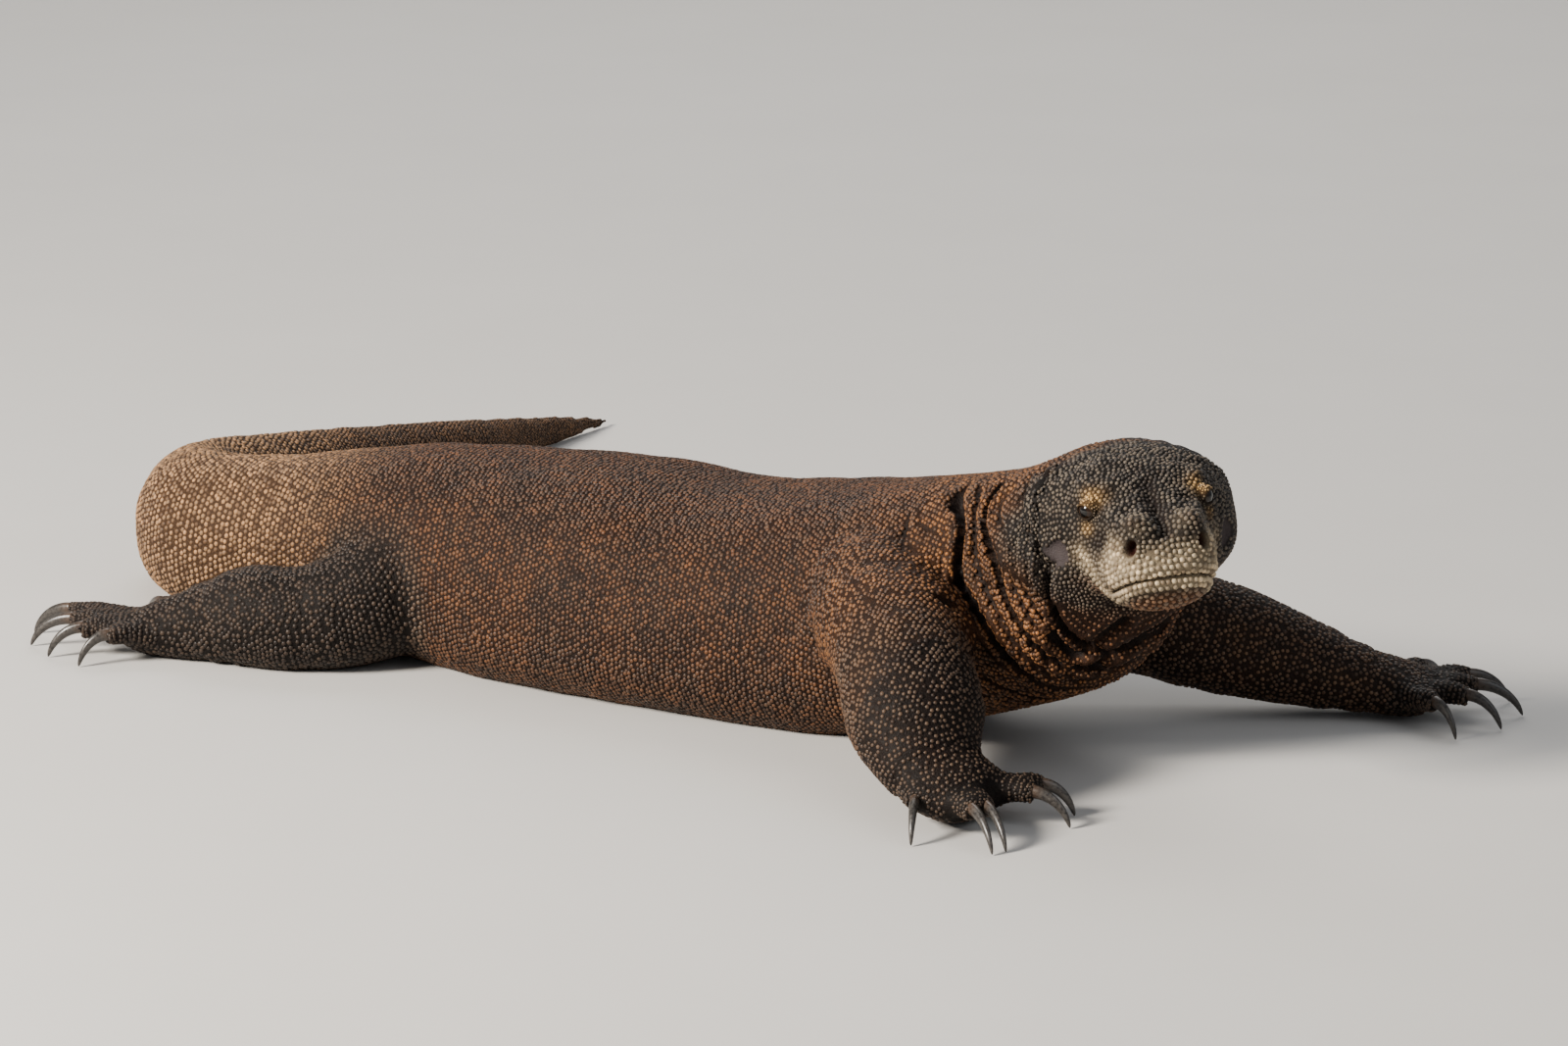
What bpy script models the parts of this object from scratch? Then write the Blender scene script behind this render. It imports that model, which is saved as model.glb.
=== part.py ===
"""A life-size Komodo dragon at rest on its belly, its head turned to its right.

+X runs along the trunk towards the head, +Y to the animal's left, +Z up, and the floor is z = 0.
Every part of the body is a loft: oval sections carried along a smooth path. The lofts are fused
into one skin, flattened where they meet the floor, and parted again by thin cuts.
Run with: blender --background --python part.py
"""
import math

import bmesh
import bpy
import numpy as np
from mathutils import Matrix, Vector

# ---- Driving dimensions, in metres -------------------------------------------------------------
SKIN_VOXEL = 0.0065  # size of the cells that fuse the lofts
BLEND_ROUNDS = 9  # smoothing rounds over the joins
FLESH_FACES = 3840  # triangles left in the fused skin
CUT_WIDTH = 0.0004  # gap between neighbouring parts
CRUMB_SIZE = 0.05  # no real part is this small
SOCKET_GAP = 0.0003  # gap between a claw or eye and its socket
FLOOR_DEPTH = 0.08  # how far the cutter below the floor reaches
STATION_STEPS = 6  # sections per station of the body
PALM_REACH = 0.022  # how far a digit runs inside the palm

# The axis of the body, from inside the head to the tail's root: x, y, lowest z, highest z, half width,
# and how far up the section it is widest, as a share of its height
BODY_STATIONS = (
    (0.475, -0.048, 0.172, 0.331, 0.064, 0.50),  # inside the head
    (0.430, -0.022, 0.100, 0.330, 0.085, 0.48),  # nape and throat
    (0.372, -0.008, 0.062, 0.311, 0.094, 0.46),
    (0.300, 0.001, 0.036, 0.284, 0.104, 0.44),
    (0.205, 0.001, 0.004, 0.261, 0.133, 0.42),  # shoulders
    (0.100, 0.000, -0.020, 0.241, 0.151, 0.40),  # chest
    (-0.045, -0.012, -0.018, 0.221, 0.167, 0.38),
    (-0.165, -0.030, -0.017, 0.226, 0.168, 0.38),  # belly
    (-0.290, -0.056, -0.019, 0.222, 0.150, 0.40),
    (-0.405, -0.084, -0.010, 0.216, 0.121, 0.44),  # hips
    (-0.505, -0.102, -0.006, 0.199, 0.098, 0.46),
    (-0.590, -0.114, -0.005, 0.182, 0.084, 0.47),  # where the tail's bend starts
)
BELLY_SQUARENESS, BACK_SQUARENESS = 2.5, 2.15  # 2 is an oval, and more is boxier
# Beyond the last station the tail bends round and tapers
TAIL_LENGTH = 1.09
TAIL_START_HEADING, TAIL_TURN = 187.0, -88.0  # degrees from +X
TAIL_TURN_END = 0.31  # share of the length over which it bends
TAIL_TIP_HALF_WIDTH, TAIL_TIP_HEIGHT = 0.005, 0.012
TAIL_POINTS = 56

# The head, in its own axes: distance behind the snout's tip, half width, height above and below the axis
SNOUT_TIP = (0.576, -0.119, 0.252)
HEAD_YAW, HEAD_PITCH, HEAD_ROLL = -39.5, 8.0, 5.0  # degrees
HEAD_STATIONS = (
    (0.000, 0.022, 0.010, 0.026),
    (0.008, 0.038, 0.022, 0.042),
    (0.024, 0.050, 0.033, 0.055),
    (0.050, 0.057, 0.040, 0.064),
    (0.080, 0.062, 0.048, 0.069),
    (0.110, 0.076, 0.056, 0.072),
    (0.140, 0.091, 0.058, 0.073),
    (0.170, 0.099, 0.056, 0.072),
    (0.205, 0.094, 0.050, 0.070),
    (0.240, 0.078, 0.040, 0.062),
)
JAW_SQUARENESS = 2.7  # the jaw's sections are boxier than an oval
EYE_BACK, EYE_OUT, EYE_UP = 0.103, 0.0570, 0.0270  # the eye's centre in the head's axes
EYE_RADIUS = 0.0120
# The lip line from ahead of the snout back to the mouth's corner, then down behind the lower jaw
MOUTH_LINE = (
    (0.050, -0.008),
    (0.000, -0.010),
    (-0.030, -0.030),
    (-0.056, -0.044),
    (-0.075, -0.040),
    (-0.092, -0.023),
    (-0.132, -0.025),
    (-0.112, -0.200),
)
MOUTH_CUT_REACH = 0.12  # how far the mouth's cut runs to each side

# Each limb: points x, y, z with a half width across and a half height, from root to wrist or ankle
LIMBS = {
    "front_right": (
        (0.160, -0.050, 0.140, 0.084, 0.086),
        (0.235, -0.118, 0.140, 0.074, 0.077),
        (0.303, -0.180, 0.120, 0.068, 0.068),  # elbow
        (0.346, -0.217, 0.086, 0.070, 0.060),
        (0.376, -0.236, 0.058, 0.060, 0.047),
        (0.400, -0.242, 0.041, 0.052, 0.038),  # wrist
        (0.430, -0.246, 0.031, 0.052, 0.032),  # palm
        (0.448, -0.249, 0.027, 0.044, 0.023),
    ),
    "front_left": (
        (0.155, 0.050, 0.130, 0.082, 0.084),
        (0.225, 0.122, 0.122, 0.072, 0.074),
        (0.305, 0.182, 0.100, 0.062, 0.062),
        (0.385, 0.236, 0.076, 0.058, 0.058),  # elbow
        (0.450, 0.284, 0.052, 0.052, 0.046),
        (0.500, 0.318, 0.036, 0.045, 0.034),  # wrist
        (0.536, 0.346, 0.027, 0.050, 0.028),  # palm
        (0.554, 0.360, 0.024, 0.043, 0.020),
    ),
    "hind_right": (
        (-0.385, -0.060, 0.110, 0.078, 0.084),
        (-0.392, -0.130, 0.094, 0.072, 0.078),
        (-0.404, -0.198, 0.066, 0.062, 0.064),  # knee
        (-0.452, -0.248, 0.052, 0.052, 0.056),
        (-0.498, -0.272, 0.052, 0.050, 0.055),  # calf
        (-0.548, -0.288, 0.040, 0.040, 0.042),  # ankle
        (-0.600, -0.302, 0.028, 0.044, 0.031),  # sole
        (-0.630, -0.312, 0.024, 0.042, 0.022),
    ),
    "hind_left": (
        (-0.385, -0.030, 0.110, 0.078, 0.084),
        (-0.358, 0.045, 0.094, 0.072, 0.078),
        (-0.345, 0.115, 0.066, 0.062, 0.064),  # knee
        (-0.378, 0.163, 0.052, 0.052, 0.056),
        (-0.418, 0.188, 0.052, 0.052, 0.055),  # calf
        (-0.466, 0.206, 0.040, 0.040, 0.042),  # ankle
        (-0.518, 0.216, 0.028, 0.044, 0.031),  # sole
        (-0.548, 0.220, 0.024, 0.042, 0.022),
    ),
}
# The digits of each foot, first to fifth: heading in degrees from +X, length, how far across the palm
# each starts, from -1 on the foot's right side to 1 on its left, and how far behind the palm's middle
DIGITS = {
    "front_right": (
        (42, 0.030, 1.0, 0.0),
        (20, 0.032, 0.7, 0.0),
        (-28, 0.034, 0.0, 0.0),
        (-27, 0.032, -0.5, 0.0),
        (-56, 0.020, -0.8, 0.034),
    ),
    "front_left": (
        (-14, 0.034, -0.9, 0.010),
        (14, 0.044, -0.5, 0.0),
        (36, 0.052, 0.0, 0.0),
        (54, 0.048, 0.5, 0.0),
        (88, 0.032, 0.9, 0.014),
    ),
    "hind_right": (
        (238, 0.040, 0.9, 0.012),
        (222, 0.060, 0.5, 0.0),
        (208, 0.082, 0.05, 0.0),
        (195, 0.102, -0.4, 0.0),
        (160, 0.066, -0.9, 0.024),
    ),
    "hind_left": (
        (130, 0.040, -0.9, 0.012),
        (147, 0.060, -0.5, 0.0),
        (160, 0.082, -0.05, 0.0),
        (173, 0.102, 0.4, 0.0),
        (206, 0.066, 0.9, 0.024),
    ),
}
DIGIT_ROOT_RADIUS, DIGIT_TIP_RADIUS = 0.0160, 0.0130
DIGIT_ROOT_HEIGHT, DIGIT_TIP_HEIGHT = 0.024, 0.029  # heights of its middle line
DIGIT_ARCH = 0.006  # how far its middle stands above the line between its ends
CLAW_LENGTH, CLAW_CURL = 0.056, 72.0  # along the curve, and degrees it turns through
CLAW_SIZES = (0.78, 0.90, 1.12, 1.10, 0.98)  # first to fifth digit
CLAW_HALF_HEIGHT, CLAW_HALF_WIDTH = 0.0068, 0.0052
CLAW_SET_IN, CLAW_RISE = 0.006, 0.004  # how far its root sits inside its digit and above its middle line
CLAW_TIP_HEIGHT = 0.0012

# Where the limbs are parted from the body: upright curtains through these plan points
LIMB_ROOTS = {
    "front_right": ((0.070, -0.185), (0.140, -0.142), (0.240, -0.118), (0.350, -0.120)),
    "front_left": ((0.080, 0.185), (0.150, 0.144), (0.240, 0.122), (0.365, 0.112)),
    "hind_right": ((-0.280, -0.235), (-0.345, -0.178), (-0.430, -0.166), (-0.475, -0.207), (-0.560, -0.217)),
    "hind_left": ((-0.250, 0.120), (-0.320, 0.048), (-0.430, 0.018), (-0.500, 0.060)),
}
# Where each limb is parted again: the limb's point number, and the part that starts there
LIMB_CUTS = {
    "front": ((3, "forearm"), (5, "hand")),
    "hind": ((3, "shank"), (5, "foot")),
}
LIMB_TOPS = {"front": "upper_arm", "hind": "thigh"}
# Where the axis is cut: the place among the body's stations, and the cut's width in half widths there
BODY_CUTS = {"head": (0.85, 3.4), "neck": (3.05, 2.45), "tail_1": (9.97, 2.2)}
TAIL_CUTS = (0.20, 0.44, 0.70)  # shares of the tail beyond the last station
TAIL_CUT_WIDTH = 3.0  # in half widths
BODY_CUT_MIDDLE, BODY_CUT_HEIGHT = 0.15, 0.5
LIMB_CUT_WIDTH, LIMB_CUT_TALLNESS = 2.35, 1.3  # in half widths, and in widths of the cut
ROOT_CUT_MIDDLE, ROOT_CUT_REACH = 0.1, 0.2
FLOOR_CUT_SIZE = 4.0

COLOURS = {
    "flesh": (0.115, 0.082, 0.060),
    "head": (0.120, 0.105, 0.085),
    "limb": (0.060, 0.048, 0.040),
    "claw": (0.050, 0.045, 0.042),
    "eye": (0.020, 0.014, 0.010),
}


# ---- Plain tools -------------------------------------------------------------------------------
def clear_scene():
    for obj in list(bpy.data.objects):
        bpy.data.objects.remove(obj)


def make_collection(name):
    collection = bpy.data.collections.new(name)
    bpy.context.scene.collection.children.link(collection)
    return collection


def make_material(name, colour, roughness):
    material = bpy.data.materials.new(name)
    material.use_nodes = True
    shader = material.node_tree.nodes["Principled BSDF"]
    shader.inputs["Base Color"].default_value = (*colour, 1.0)
    shader.inputs["Roughness"].default_value = roughness
    return material


def smooth_rows(rows, steps):
    """A Catmull-Rom curve through the rows, which may hold sizes beside the coordinates."""
    rows = np.array(rows, float)
    padded = np.vstack([2 * rows[0] - rows[1], rows, 2 * rows[-1] - rows[-2]])
    found = []
    for i in range(len(rows) - 1):
        a, b, c, d = padded[i : i + 4]
        for t in np.linspace(0, 1, steps, endpoint=False):
            found.append(
                b
                + 0.5 * t * (c - a)
                + t * t * (a - 2.5 * b + 2 * c - 0.5 * d)
                + t**3 * (1.5 * (b - c) + 0.5 * (d - a))
            )
    return np.array(found + [rows[-1]])


def path_frames(points, up=(0.0, 0.0, 1.0)):
    """Unit vectors across and over a path, at each of its points."""
    along = np.gradient(points, axis=0)
    along /= np.linalg.norm(along, axis=1)[:, None]
    across = np.cross(np.array(up), along)
    across /= np.linalg.norm(across, axis=1)[:, None]
    return across, np.cross(along, across)


def add_mesh(name, mesh):
    data = bpy.data.meshes.new(name)
    mesh.to_mesh(data)
    mesh.free()
    obj = bpy.data.objects.new(name, data)
    bpy.context.scene.collection.objects.link(obj)
    return obj


def power(value, squareness):
    return math.copysign(abs(value) ** (2 / squareness), value)


def loft(name, centres, across, over, half_widths, tops, bottoms, sides, square_top=2.0, square_bottom=2.0):
    """A closed body of oval sections, whose upper and lower halves may differ in height and squareness."""
    mesh = bmesh.new()
    rings = []
    for centre, a, o, w, top, bottom in zip(centres, across, over, half_widths, tops, bottoms):
        ring = []
        for k in range(sides):
            angle = 2 * math.pi * k / sides
            upper = math.sin(angle) > 0
            square, height = (square_top, top) if upper else (square_bottom, bottom)
            aside, up = power(math.cos(angle), square), power(math.sin(angle), square)
            ring.append(mesh.verts.new(centre + a * w * aside + o * height * up))
        rings.append(ring)
    for before, after in zip(rings, rings[1:]):
        for k in range(sides):
            n = (k + 1) % sides
            mesh.faces.new((before[k], before[n], after[n], after[k]))
    mesh.faces.new(list(reversed(rings[0])))
    mesh.faces.new(rings[-1])
    bmesh.ops.recalc_face_normals(mesh, faces=mesh.faces)
    return add_mesh(name, mesh)


def applied(obj):
    """Replaces the object's mesh by the one that its modifiers make."""
    graph = bpy.context.evaluated_depsgraph_get()
    data = bpy.data.meshes.new_from_object(obj.evaluated_get(graph))
    obj.modifiers.clear()
    obj.data = data
    return obj


def subtract(obj, cutters):
    for cutter in cutters:
        modifier = obj.modifiers.new("cut_" + cutter.name, "BOOLEAN")
        modifier.operation = "DIFFERENCE"
        modifier.object = cutter
    return applied(obj)


# ---- Lofts of the body -------------------------------------------------------------------------
def tail_rows():
    """Rows beyond the last station: the path turns by a smooth step, and its width and height fall almost evenly."""
    x, y, low, high, half_width, widest = BODY_STATIONS[-1]
    share = np.linspace(0, 1, TAIL_POINTS)
    turn = np.clip(share / TAIL_TURN_END, 0, 1)
    heading = np.radians(TAIL_START_HEADING + TAIL_TURN * turn * turn * (3 - 2 * turn))
    step = TAIL_LENGTH / (TAIL_POINTS - 1)
    rows = np.empty((TAIL_POINTS, 6))
    rows[:, 0] = x + np.concatenate([[0], np.cumsum(np.cos(heading[:-1]))]) * step
    rows[:, 1] = y + np.concatenate([[0], np.cumsum(np.sin(heading[:-1]))]) * step
    rows[:, 2] = low * (1 - share)
    rows[:, 3] = TAIL_TIP_HEIGHT + (high - TAIL_TIP_HEIGHT) * (1 - share) ** 0.88
    rows[:, 4] = TAIL_TIP_HALF_WIDTH + (half_width - TAIL_TIP_HALF_WIDTH) * (1 - share) ** 1.1
    rows[:, 5] = widest
    return rows[1:]


def spine_rows():
    """The whole axis from the head to the tail's tip: x, y, low, high, half width, widest share."""
    return np.vstack([smooth_rows(BODY_STATIONS, STATION_STEPS), tail_rows()])


def spine_loft():
    rows = spine_rows()
    low, high, widest = rows[:, 2], rows[:, 3], rows[:, 5]
    middle = low + widest * (high - low)
    centres = np.column_stack([rows[:, 0], rows[:, 1], middle])
    across, over = path_frames(centres * (1, 1, 0))
    return loft(
        "spine", centres, across, over, rows[:, 4], high - middle, middle - low, 44, BACK_SQUARENESS, BELLY_SQUARENESS
    )


def head_axes():
    """The head's matrix: its X points forward along the snout, its origin is the snout's tip."""
    turn = (
        Matrix.Rotation(math.radians(HEAD_YAW), 4, "Z")
        @ Matrix.Rotation(math.radians(HEAD_PITCH), 4, "Y")
        @ Matrix.Rotation(math.radians(HEAD_ROLL), 4, "X")
    )
    return Matrix.Translation(SNOUT_TIP) @ turn


def head_loft():
    rows = smooth_rows(HEAD_STATIONS, 4)
    axes = np.array(head_axes())
    centres = axes[:3, 3] - np.outer(rows[:, 0], axes[:3, 0])
    across = np.tile(axes[:3, 1], (len(rows), 1))
    over = np.tile(axes[:3, 2], (len(rows), 1))
    return loft(
        "head", centres, across, over, rows[:, 1], rows[:, 2], rows[:, 3], 36, square_bottom=JAW_SQUARENESS
    )


def limb_loft(name):
    rows = smooth_rows(LIMBS[name], 5)
    across, over = path_frames(rows[:, :3])
    return loft(name, rows[:, :3], across, over, rows[:, 3], rows[:, 4], rows[:, 4], 24)


def digit_path(limb, number):
    """The digit's arched path from inside the palm to its end, its radii, and the way it points."""
    heading, length, side, behind = DIGITS[limb][number]
    palm = np.array(LIMBS[limb][-2])
    forward = np.array(LIMBS[limb][-1][:2]) - palm[:2]
    forward /= np.linalg.norm(forward)
    left = np.array([-forward[1], forward[0]])
    root = palm[:2] + left * side * (palm[3] - DIGIT_ROOT_RADIUS) - forward * behind
    way = np.array([math.cos(math.radians(heading)), math.sin(math.radians(heading)), 0.0])
    share = np.linspace(0, 1, 7)
    radius = DIGIT_ROOT_RADIUS + (DIGIT_TIP_RADIUS - DIGIT_ROOT_RADIUS) * share
    height = DIGIT_ROOT_HEIGHT + (DIGIT_TIP_HEIGHT - DIGIT_ROOT_HEIGHT) * share
    height += DIGIT_ARCH * np.sin(math.pi * share)
    points = np.array([*root, 0.0]) + np.outer(share * (PALM_REACH + length), way)
    points[:, 2] = height
    return points, radius, way


def digit_loft(limb, number):
    points, radius, _ = digit_path(limb, number)
    across, over = path_frames(points)
    return loft(f"{limb}_digit_{number + 1}", points, across, over, radius, radius, radius, 12)


# ---- Claws and eyes ----------------------------------------------------------------------------
def claw(name, limb, number, grow=0.0):
    """A claw: oval sections that shrink along an arc from the digit's end down to the floor."""
    points, _, way = digit_path(limb, number)
    share = np.linspace(0, 1, 5)
    bend = math.radians(CLAW_CURL) * share
    arc = CLAW_LENGTH * CLAW_SIZES[number] / math.radians(CLAW_CURL)
    start = points[-1] - way * CLAW_SET_IN + np.array([0, 0, CLAW_RISE])
    drop = (1 - np.cos(bend)) / (1 - math.cos(bend[-1])) * (start[2] - CLAW_TIP_HEIGHT)
    centres = start + np.outer(arc * np.sin(bend), way) - np.outer(drop, [0, 0, 1])
    taper = (1 - share) ** 0.72
    across, over = path_frames(centres)
    tip = CLAW_TIP_HEIGHT / 2
    half_width = tip + (CLAW_HALF_WIDTH - tip) * taper + grow
    half_height = tip + (CLAW_HALF_HEIGHT - tip) * taper + grow
    centres[0] -= way * grow
    return loft(name, centres, across, over, half_width, half_height, half_height, 6)


def eye_centre(side):
    return head_axes() @ Vector((-EYE_BACK, side * EYE_OUT, EYE_UP))


def eye(name, side, grow=0.0):
    mesh = bmesh.new()
    bmesh.ops.create_uvsphere(mesh, u_segments=10, v_segments=6, radius=EYE_RADIUS + grow)
    obj = add_mesh(name, mesh)
    obj.matrix_world = Matrix.Translation(eye_centre(side))
    return obj


# ---- Cutters -----------------------------------------------------------------------------------
def as_cutter(obj):
    obj.hide_render = True
    obj.display_type = "WIRE"
    return obj


def slab(name, centre, normal, width, height):
    """A thin upright plate across the body, whose broad sides face along normal."""
    mesh = bmesh.new()
    bmesh.ops.create_cube(mesh, size=1.0)
    bmesh.ops.scale(mesh, vec=(CUT_WIDTH, width, height), verts=mesh.verts)
    turn = Vector(normal).to_track_quat("X", "Z").to_matrix().to_4x4()
    bmesh.ops.transform(mesh, matrix=Matrix.Translation(Vector(centre)) @ turn, verts=mesh.verts)
    return as_cutter(add_mesh(name, mesh))


def floor_cutter():
    mesh = bmesh.new()
    bmesh.ops.create_cube(mesh, size=1.0)
    bmesh.ops.scale(mesh, vec=(FLOOR_CUT_SIZE, FLOOR_CUT_SIZE, FLOOR_DEPTH), verts=mesh.verts)
    bmesh.ops.translate(mesh, vec=(0, 0, -FLOOR_DEPTH / 2), verts=mesh.verts)
    return as_cutter(add_mesh("floor_cut", mesh))


def curtain(name, line, shift):
    """An open strip through the line's points, carried along shift and thickened to the cut's width."""
    mesh = bmesh.new()
    rows = [[mesh.verts.new(Vector(p) + Vector(shift) * end) for end in (-1, 1)] for p in line]
    for a, b in zip(rows, rows[1:]):
        mesh.faces.new((a[0], a[1], b[1], b[0]))
    obj = add_mesh(name, mesh)
    wall = obj.modifiers.new("wall", "SOLIDIFY")
    wall.thickness = CUT_WIDTH
    wall.offset = 0.0
    return as_cutter(obj)


def mouth_cutter():
    """The lip line and the step down behind the jaw, as one curtain across the head."""
    line = [(x, 0.0, z) for x, z in MOUTH_LINE]
    obj = curtain("mouth_cut", line, (0.0, MOUTH_CUT_REACH, 0.0))
    obj.matrix_world = head_axes()
    return obj


def at_place(points, place):
    """The point and direction at a place counted in the path's points."""
    i = min(int(place), len(points) - 2)
    point = points[i] + (place - i) * (points[i + 1] - points[i])
    way = points[min(i + 2, len(points) - 1)] - points[max(i - 1, 0)]
    return point, way / np.linalg.norm(way)


def parting_cuts():
    """Every cut between neighbouring parts, and the point inside each part by which it is named."""
    rows = spine_rows()
    spine = np.column_stack([rows[:, 0], rows[:, 1], (rows[:, 2] + rows[:, 3]) / 2])
    flat = spine * (1, 1, 0) + (0, 0, BODY_CUT_MIDDLE)
    last = STATION_STEPS * (len(BODY_STATIONS) - 1)
    places = {name: (place * STATION_STEPS, width) for name, (place, width) in BODY_CUTS.items()}
    for i, share in enumerate(TAIL_CUTS):
        places[f"tail_{i + 2}"] = (last + share * (TAIL_POINTS - 1), TAIL_CUT_WIDTH)
    cuts, anchors = [mouth_cutter()], {}
    for name, (place, half_widths) in places.items():
        point, way = at_place(flat, place)
        width = half_widths * at_place(rows[:, 4:5], place)[0][0]
        cuts.append(slab(f"cut_{name}", point, way, width, BODY_CUT_HEIGHT))
    starts = [place for name, (place, _) in places.items() if name.startswith("tail")] + [len(spine) - 1]
    for i, (start, end) in enumerate(zip(starts, starts[1:])):
        anchors[f"tail_{i + 1}"] = at_place(spine, (start + end) / 2)[0]
    for limb, points in LIMBS.items():
        kind = limb.split("_")[0]
        middle = np.array(points)[:, :3]
        line = [(x, y, ROOT_CUT_MIDDLE) for x, y in LIMB_ROOTS[limb]]
        cuts.append(curtain(f"cut_{limb}_{LIMB_TOPS[kind]}", line, (0.0, 0.0, ROOT_CUT_REACH)))
        anchors[f"{limb}_{LIMB_TOPS[kind]}"] = (middle[2] + middle[3]) / 2
        for number, part in LIMB_CUTS[kind]:
            way = middle[number + 1] - middle[number - 1]
            size = LIMB_CUT_WIDTH * points[number][3]
            cuts.append(slab(f"cut_{limb}_{part}", middle[number], way, size, LIMB_CUT_TALLNESS * size))
            anchors[f"{limb}_{part}"] = (middle[number] + middle[number + 1]) / 2
    axes = head_axes()
    anchors["head"] = np.array(axes @ Vector((-0.11, 0, 0.01)))
    anchors["lower_jaw"] = np.array(axes @ Vector((-0.07, 0, -0.055)))
    anchors["neck"] = at_place(spine, 2 * STATION_STEPS)[0]
    anchors["trunk"] = at_place(spine, 6.5 * STATION_STEPS)[0]
    return cuts, anchors


# ---- The whole animal --------------------------------------------------------------------------
def triangles(obj):
    return sum(len(p.vertices) - 2 for p in obj.data.polygons)


def fused_skin():
    pieces = [spine_loft(), head_loft()]
    for limb in LIMBS:
        pieces.append(limb_loft(limb))
        pieces += [digit_loft(limb, number) for number in range(5)]
    for obj in pieces:
        obj.select_set(True)
    bpy.context.view_layer.objects.active = pieces[0]
    bpy.ops.object.join()
    skin = bpy.context.view_layer.objects.active
    skin.name = "skin"
    fuse = skin.modifiers.new("fuse", "REMESH")
    fuse.mode = "VOXEL"
    fuse.voxel_size = SKIN_VOXEL
    blend = skin.modifiers.new("blend", "SMOOTH")
    blend.factor = 0.5
    blend.iterations = BLEND_ROUNDS
    skin.modifiers.new("split", "TRIANGULATE")
    applied(skin)
    thin = skin.modifiers.new("thin", "DECIMATE")
    thin.ratio = FLESH_FACES / triangles(skin)
    applied(skin)
    return subtract(skin, [floor_cutter()])


def keep_largest(obj):
    """Drops the slivers that a socket can leave beside its foot."""
    mesh = bmesh.new()
    mesh.from_mesh(obj.data)
    unseen, islands = set(mesh.verts), []
    while unseen:
        island, waiting = set(), [unseen.pop()]
        while waiting:
            vertex = waiting.pop()
            island.add(vertex)
            near = {edge.other_vert(vertex) for edge in vertex.link_edges} & unseen
            unseen -= near
            waiting += near
        islands.append(island)
    islands.sort(key=len)
    for island in islands[:-1]:
        bmesh.ops.delete(mesh, geom=list(island), context="VERTS")
    mesh.to_mesh(obj.data)
    mesh.free()


def loose_parts(skin):
    """Splits the cut skin into its bodies, and drops the crumbs left where two cuts cross."""
    bpy.ops.object.select_all(action="DESELECT")
    skin.select_set(True)
    bpy.context.view_layer.objects.active = skin
    bpy.ops.mesh.separate(type="LOOSE")
    kept = []
    for obj in list(bpy.context.selected_objects):
        if max(obj.dimensions) < CRUMB_SIZE:
            bpy.data.objects.remove(obj)
        else:
            kept.append(obj)
    return kept


def name_parts(parts, anchors):
    """Names each part by the anchor inside it."""
    pairs = []
    for name, anchor in anchors.items():
        for i, part in enumerate(parts):
            points = np.array([v.co for v in part.data.vertices])
            nearest = np.linalg.norm(points - anchor, axis=1).min()
            off_centre = np.linalg.norm((points.min(0) + points.max(0)) / 2 - anchor)
            pairs.append((float(nearest + off_centre / 2), name, i))
    named, used = {}, set()
    for _, name, i in sorted(pairs):
        if name not in named and i not in used:
            named[name] = parts[i]
            used.add(i)
    if len(parts) != len(anchors):
        raise RuntimeError(f"the cuts leave {len(parts)} parts, not {len(anchors)}")
    for name, part in named.items():
        part.name = name
        part.data.name = name
    return named


def finish(obj, collection, material):
    obj.data.materials.clear()
    obj.data.materials.append(material)
    for owner in list(obj.users_collection):
        owner.objects.unlink(obj)
    collection.objects.link(obj)


def centre_on_box(dragon, cutters):
    """Moves everything so that the middle of the box's floor side is at the origin."""
    bpy.context.view_layer.update()
    corners = np.array([o.matrix_world @ Vector(c) for o in dragon.objects for c in o.bound_box])
    middle = (corners.min(0) + corners.max(0)) / 2
    shift = Matrix.Translation((-middle[0], -middle[1], -corners[:, 2].min()))
    for obj in [*dragon.objects, *cutters.objects]:
        obj.matrix_world = shift @ obj.matrix_world


def slot_of(name):
    if name in ("head", "lower_jaw"):
        return "head"
    return "limb" if name.split("_")[0] in ("front", "hind") else "flesh"


def main():
    clear_scene()
    dragon = make_collection("komodo_dragon")
    cutters = make_collection("cutters")
    materials = {name: make_material(name, colour, 0.75) for name, colour in COLOURS.items()}
    materials["claw"].node_tree.nodes["Principled BSDF"].inputs["Roughness"].default_value = 0.4
    materials["eye"].node_tree.nodes["Principled BSDF"].inputs["Roughness"].default_value = 0.1

    skin = fused_skin()
    cuts, anchors = parting_cuts()
    subtract(skin, cuts)
    parts = name_parts(loose_parts(skin), anchors)

    for side, name in ((1, "eye_left"), (-1, "eye_right")):
        socket = as_cutter(eye("socket_" + name, side, SOCKET_GAP))
        cuts.append(socket)
        subtract(parts["head"], [socket])
        finish(eye(name, side), dragon, materials["eye"])
    for limb in LIMBS:
        foot = parts[f"{limb}_{LIMB_CUTS[limb.split('_')[0]][-1][1]}"]
        for number in range(5):
            socket = as_cutter(claw(f"socket_{limb}_{number + 1}", limb, number, SOCKET_GAP))
            cuts.append(socket)
            subtract(foot, [socket])
            keep_largest(foot)
            finish(claw(f"{limb}_claw_{number + 1}", limb, number), dragon, materials["claw"])
    for name, part in parts.items():
        finish(part, dragon, materials[slot_of(name)])
        part.data.shade_smooth()
    for cutter in [*cuts, bpy.data.objects["floor_cut"]]:
        finish(cutter, cutters, materials["flesh"])
    centre_on_box(dragon, cutters)


main()
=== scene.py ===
"""Looks of a life-size Komodo dragon that rests on its belly, its head turned to its right.

One skin covers the whole body. It is fused from the same lofts as the solids, drawn in by the depth
of the scales, and folded at the neck, throat and limbs. Domed scales stand on it, in staggered rings
round the body, tail and limbs and as a mosaic on the head. Claws and eyes are pieces of their own.
"""

import math

import bmesh
import bpy
import numpy as np
from bpy.props import FloatProperty, FloatVectorProperty, PointerProperty
from mathutils import Matrix, Vector
from mathutils.bvhtree import BVHTree
from mathutils.kdtree import KDTree


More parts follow.
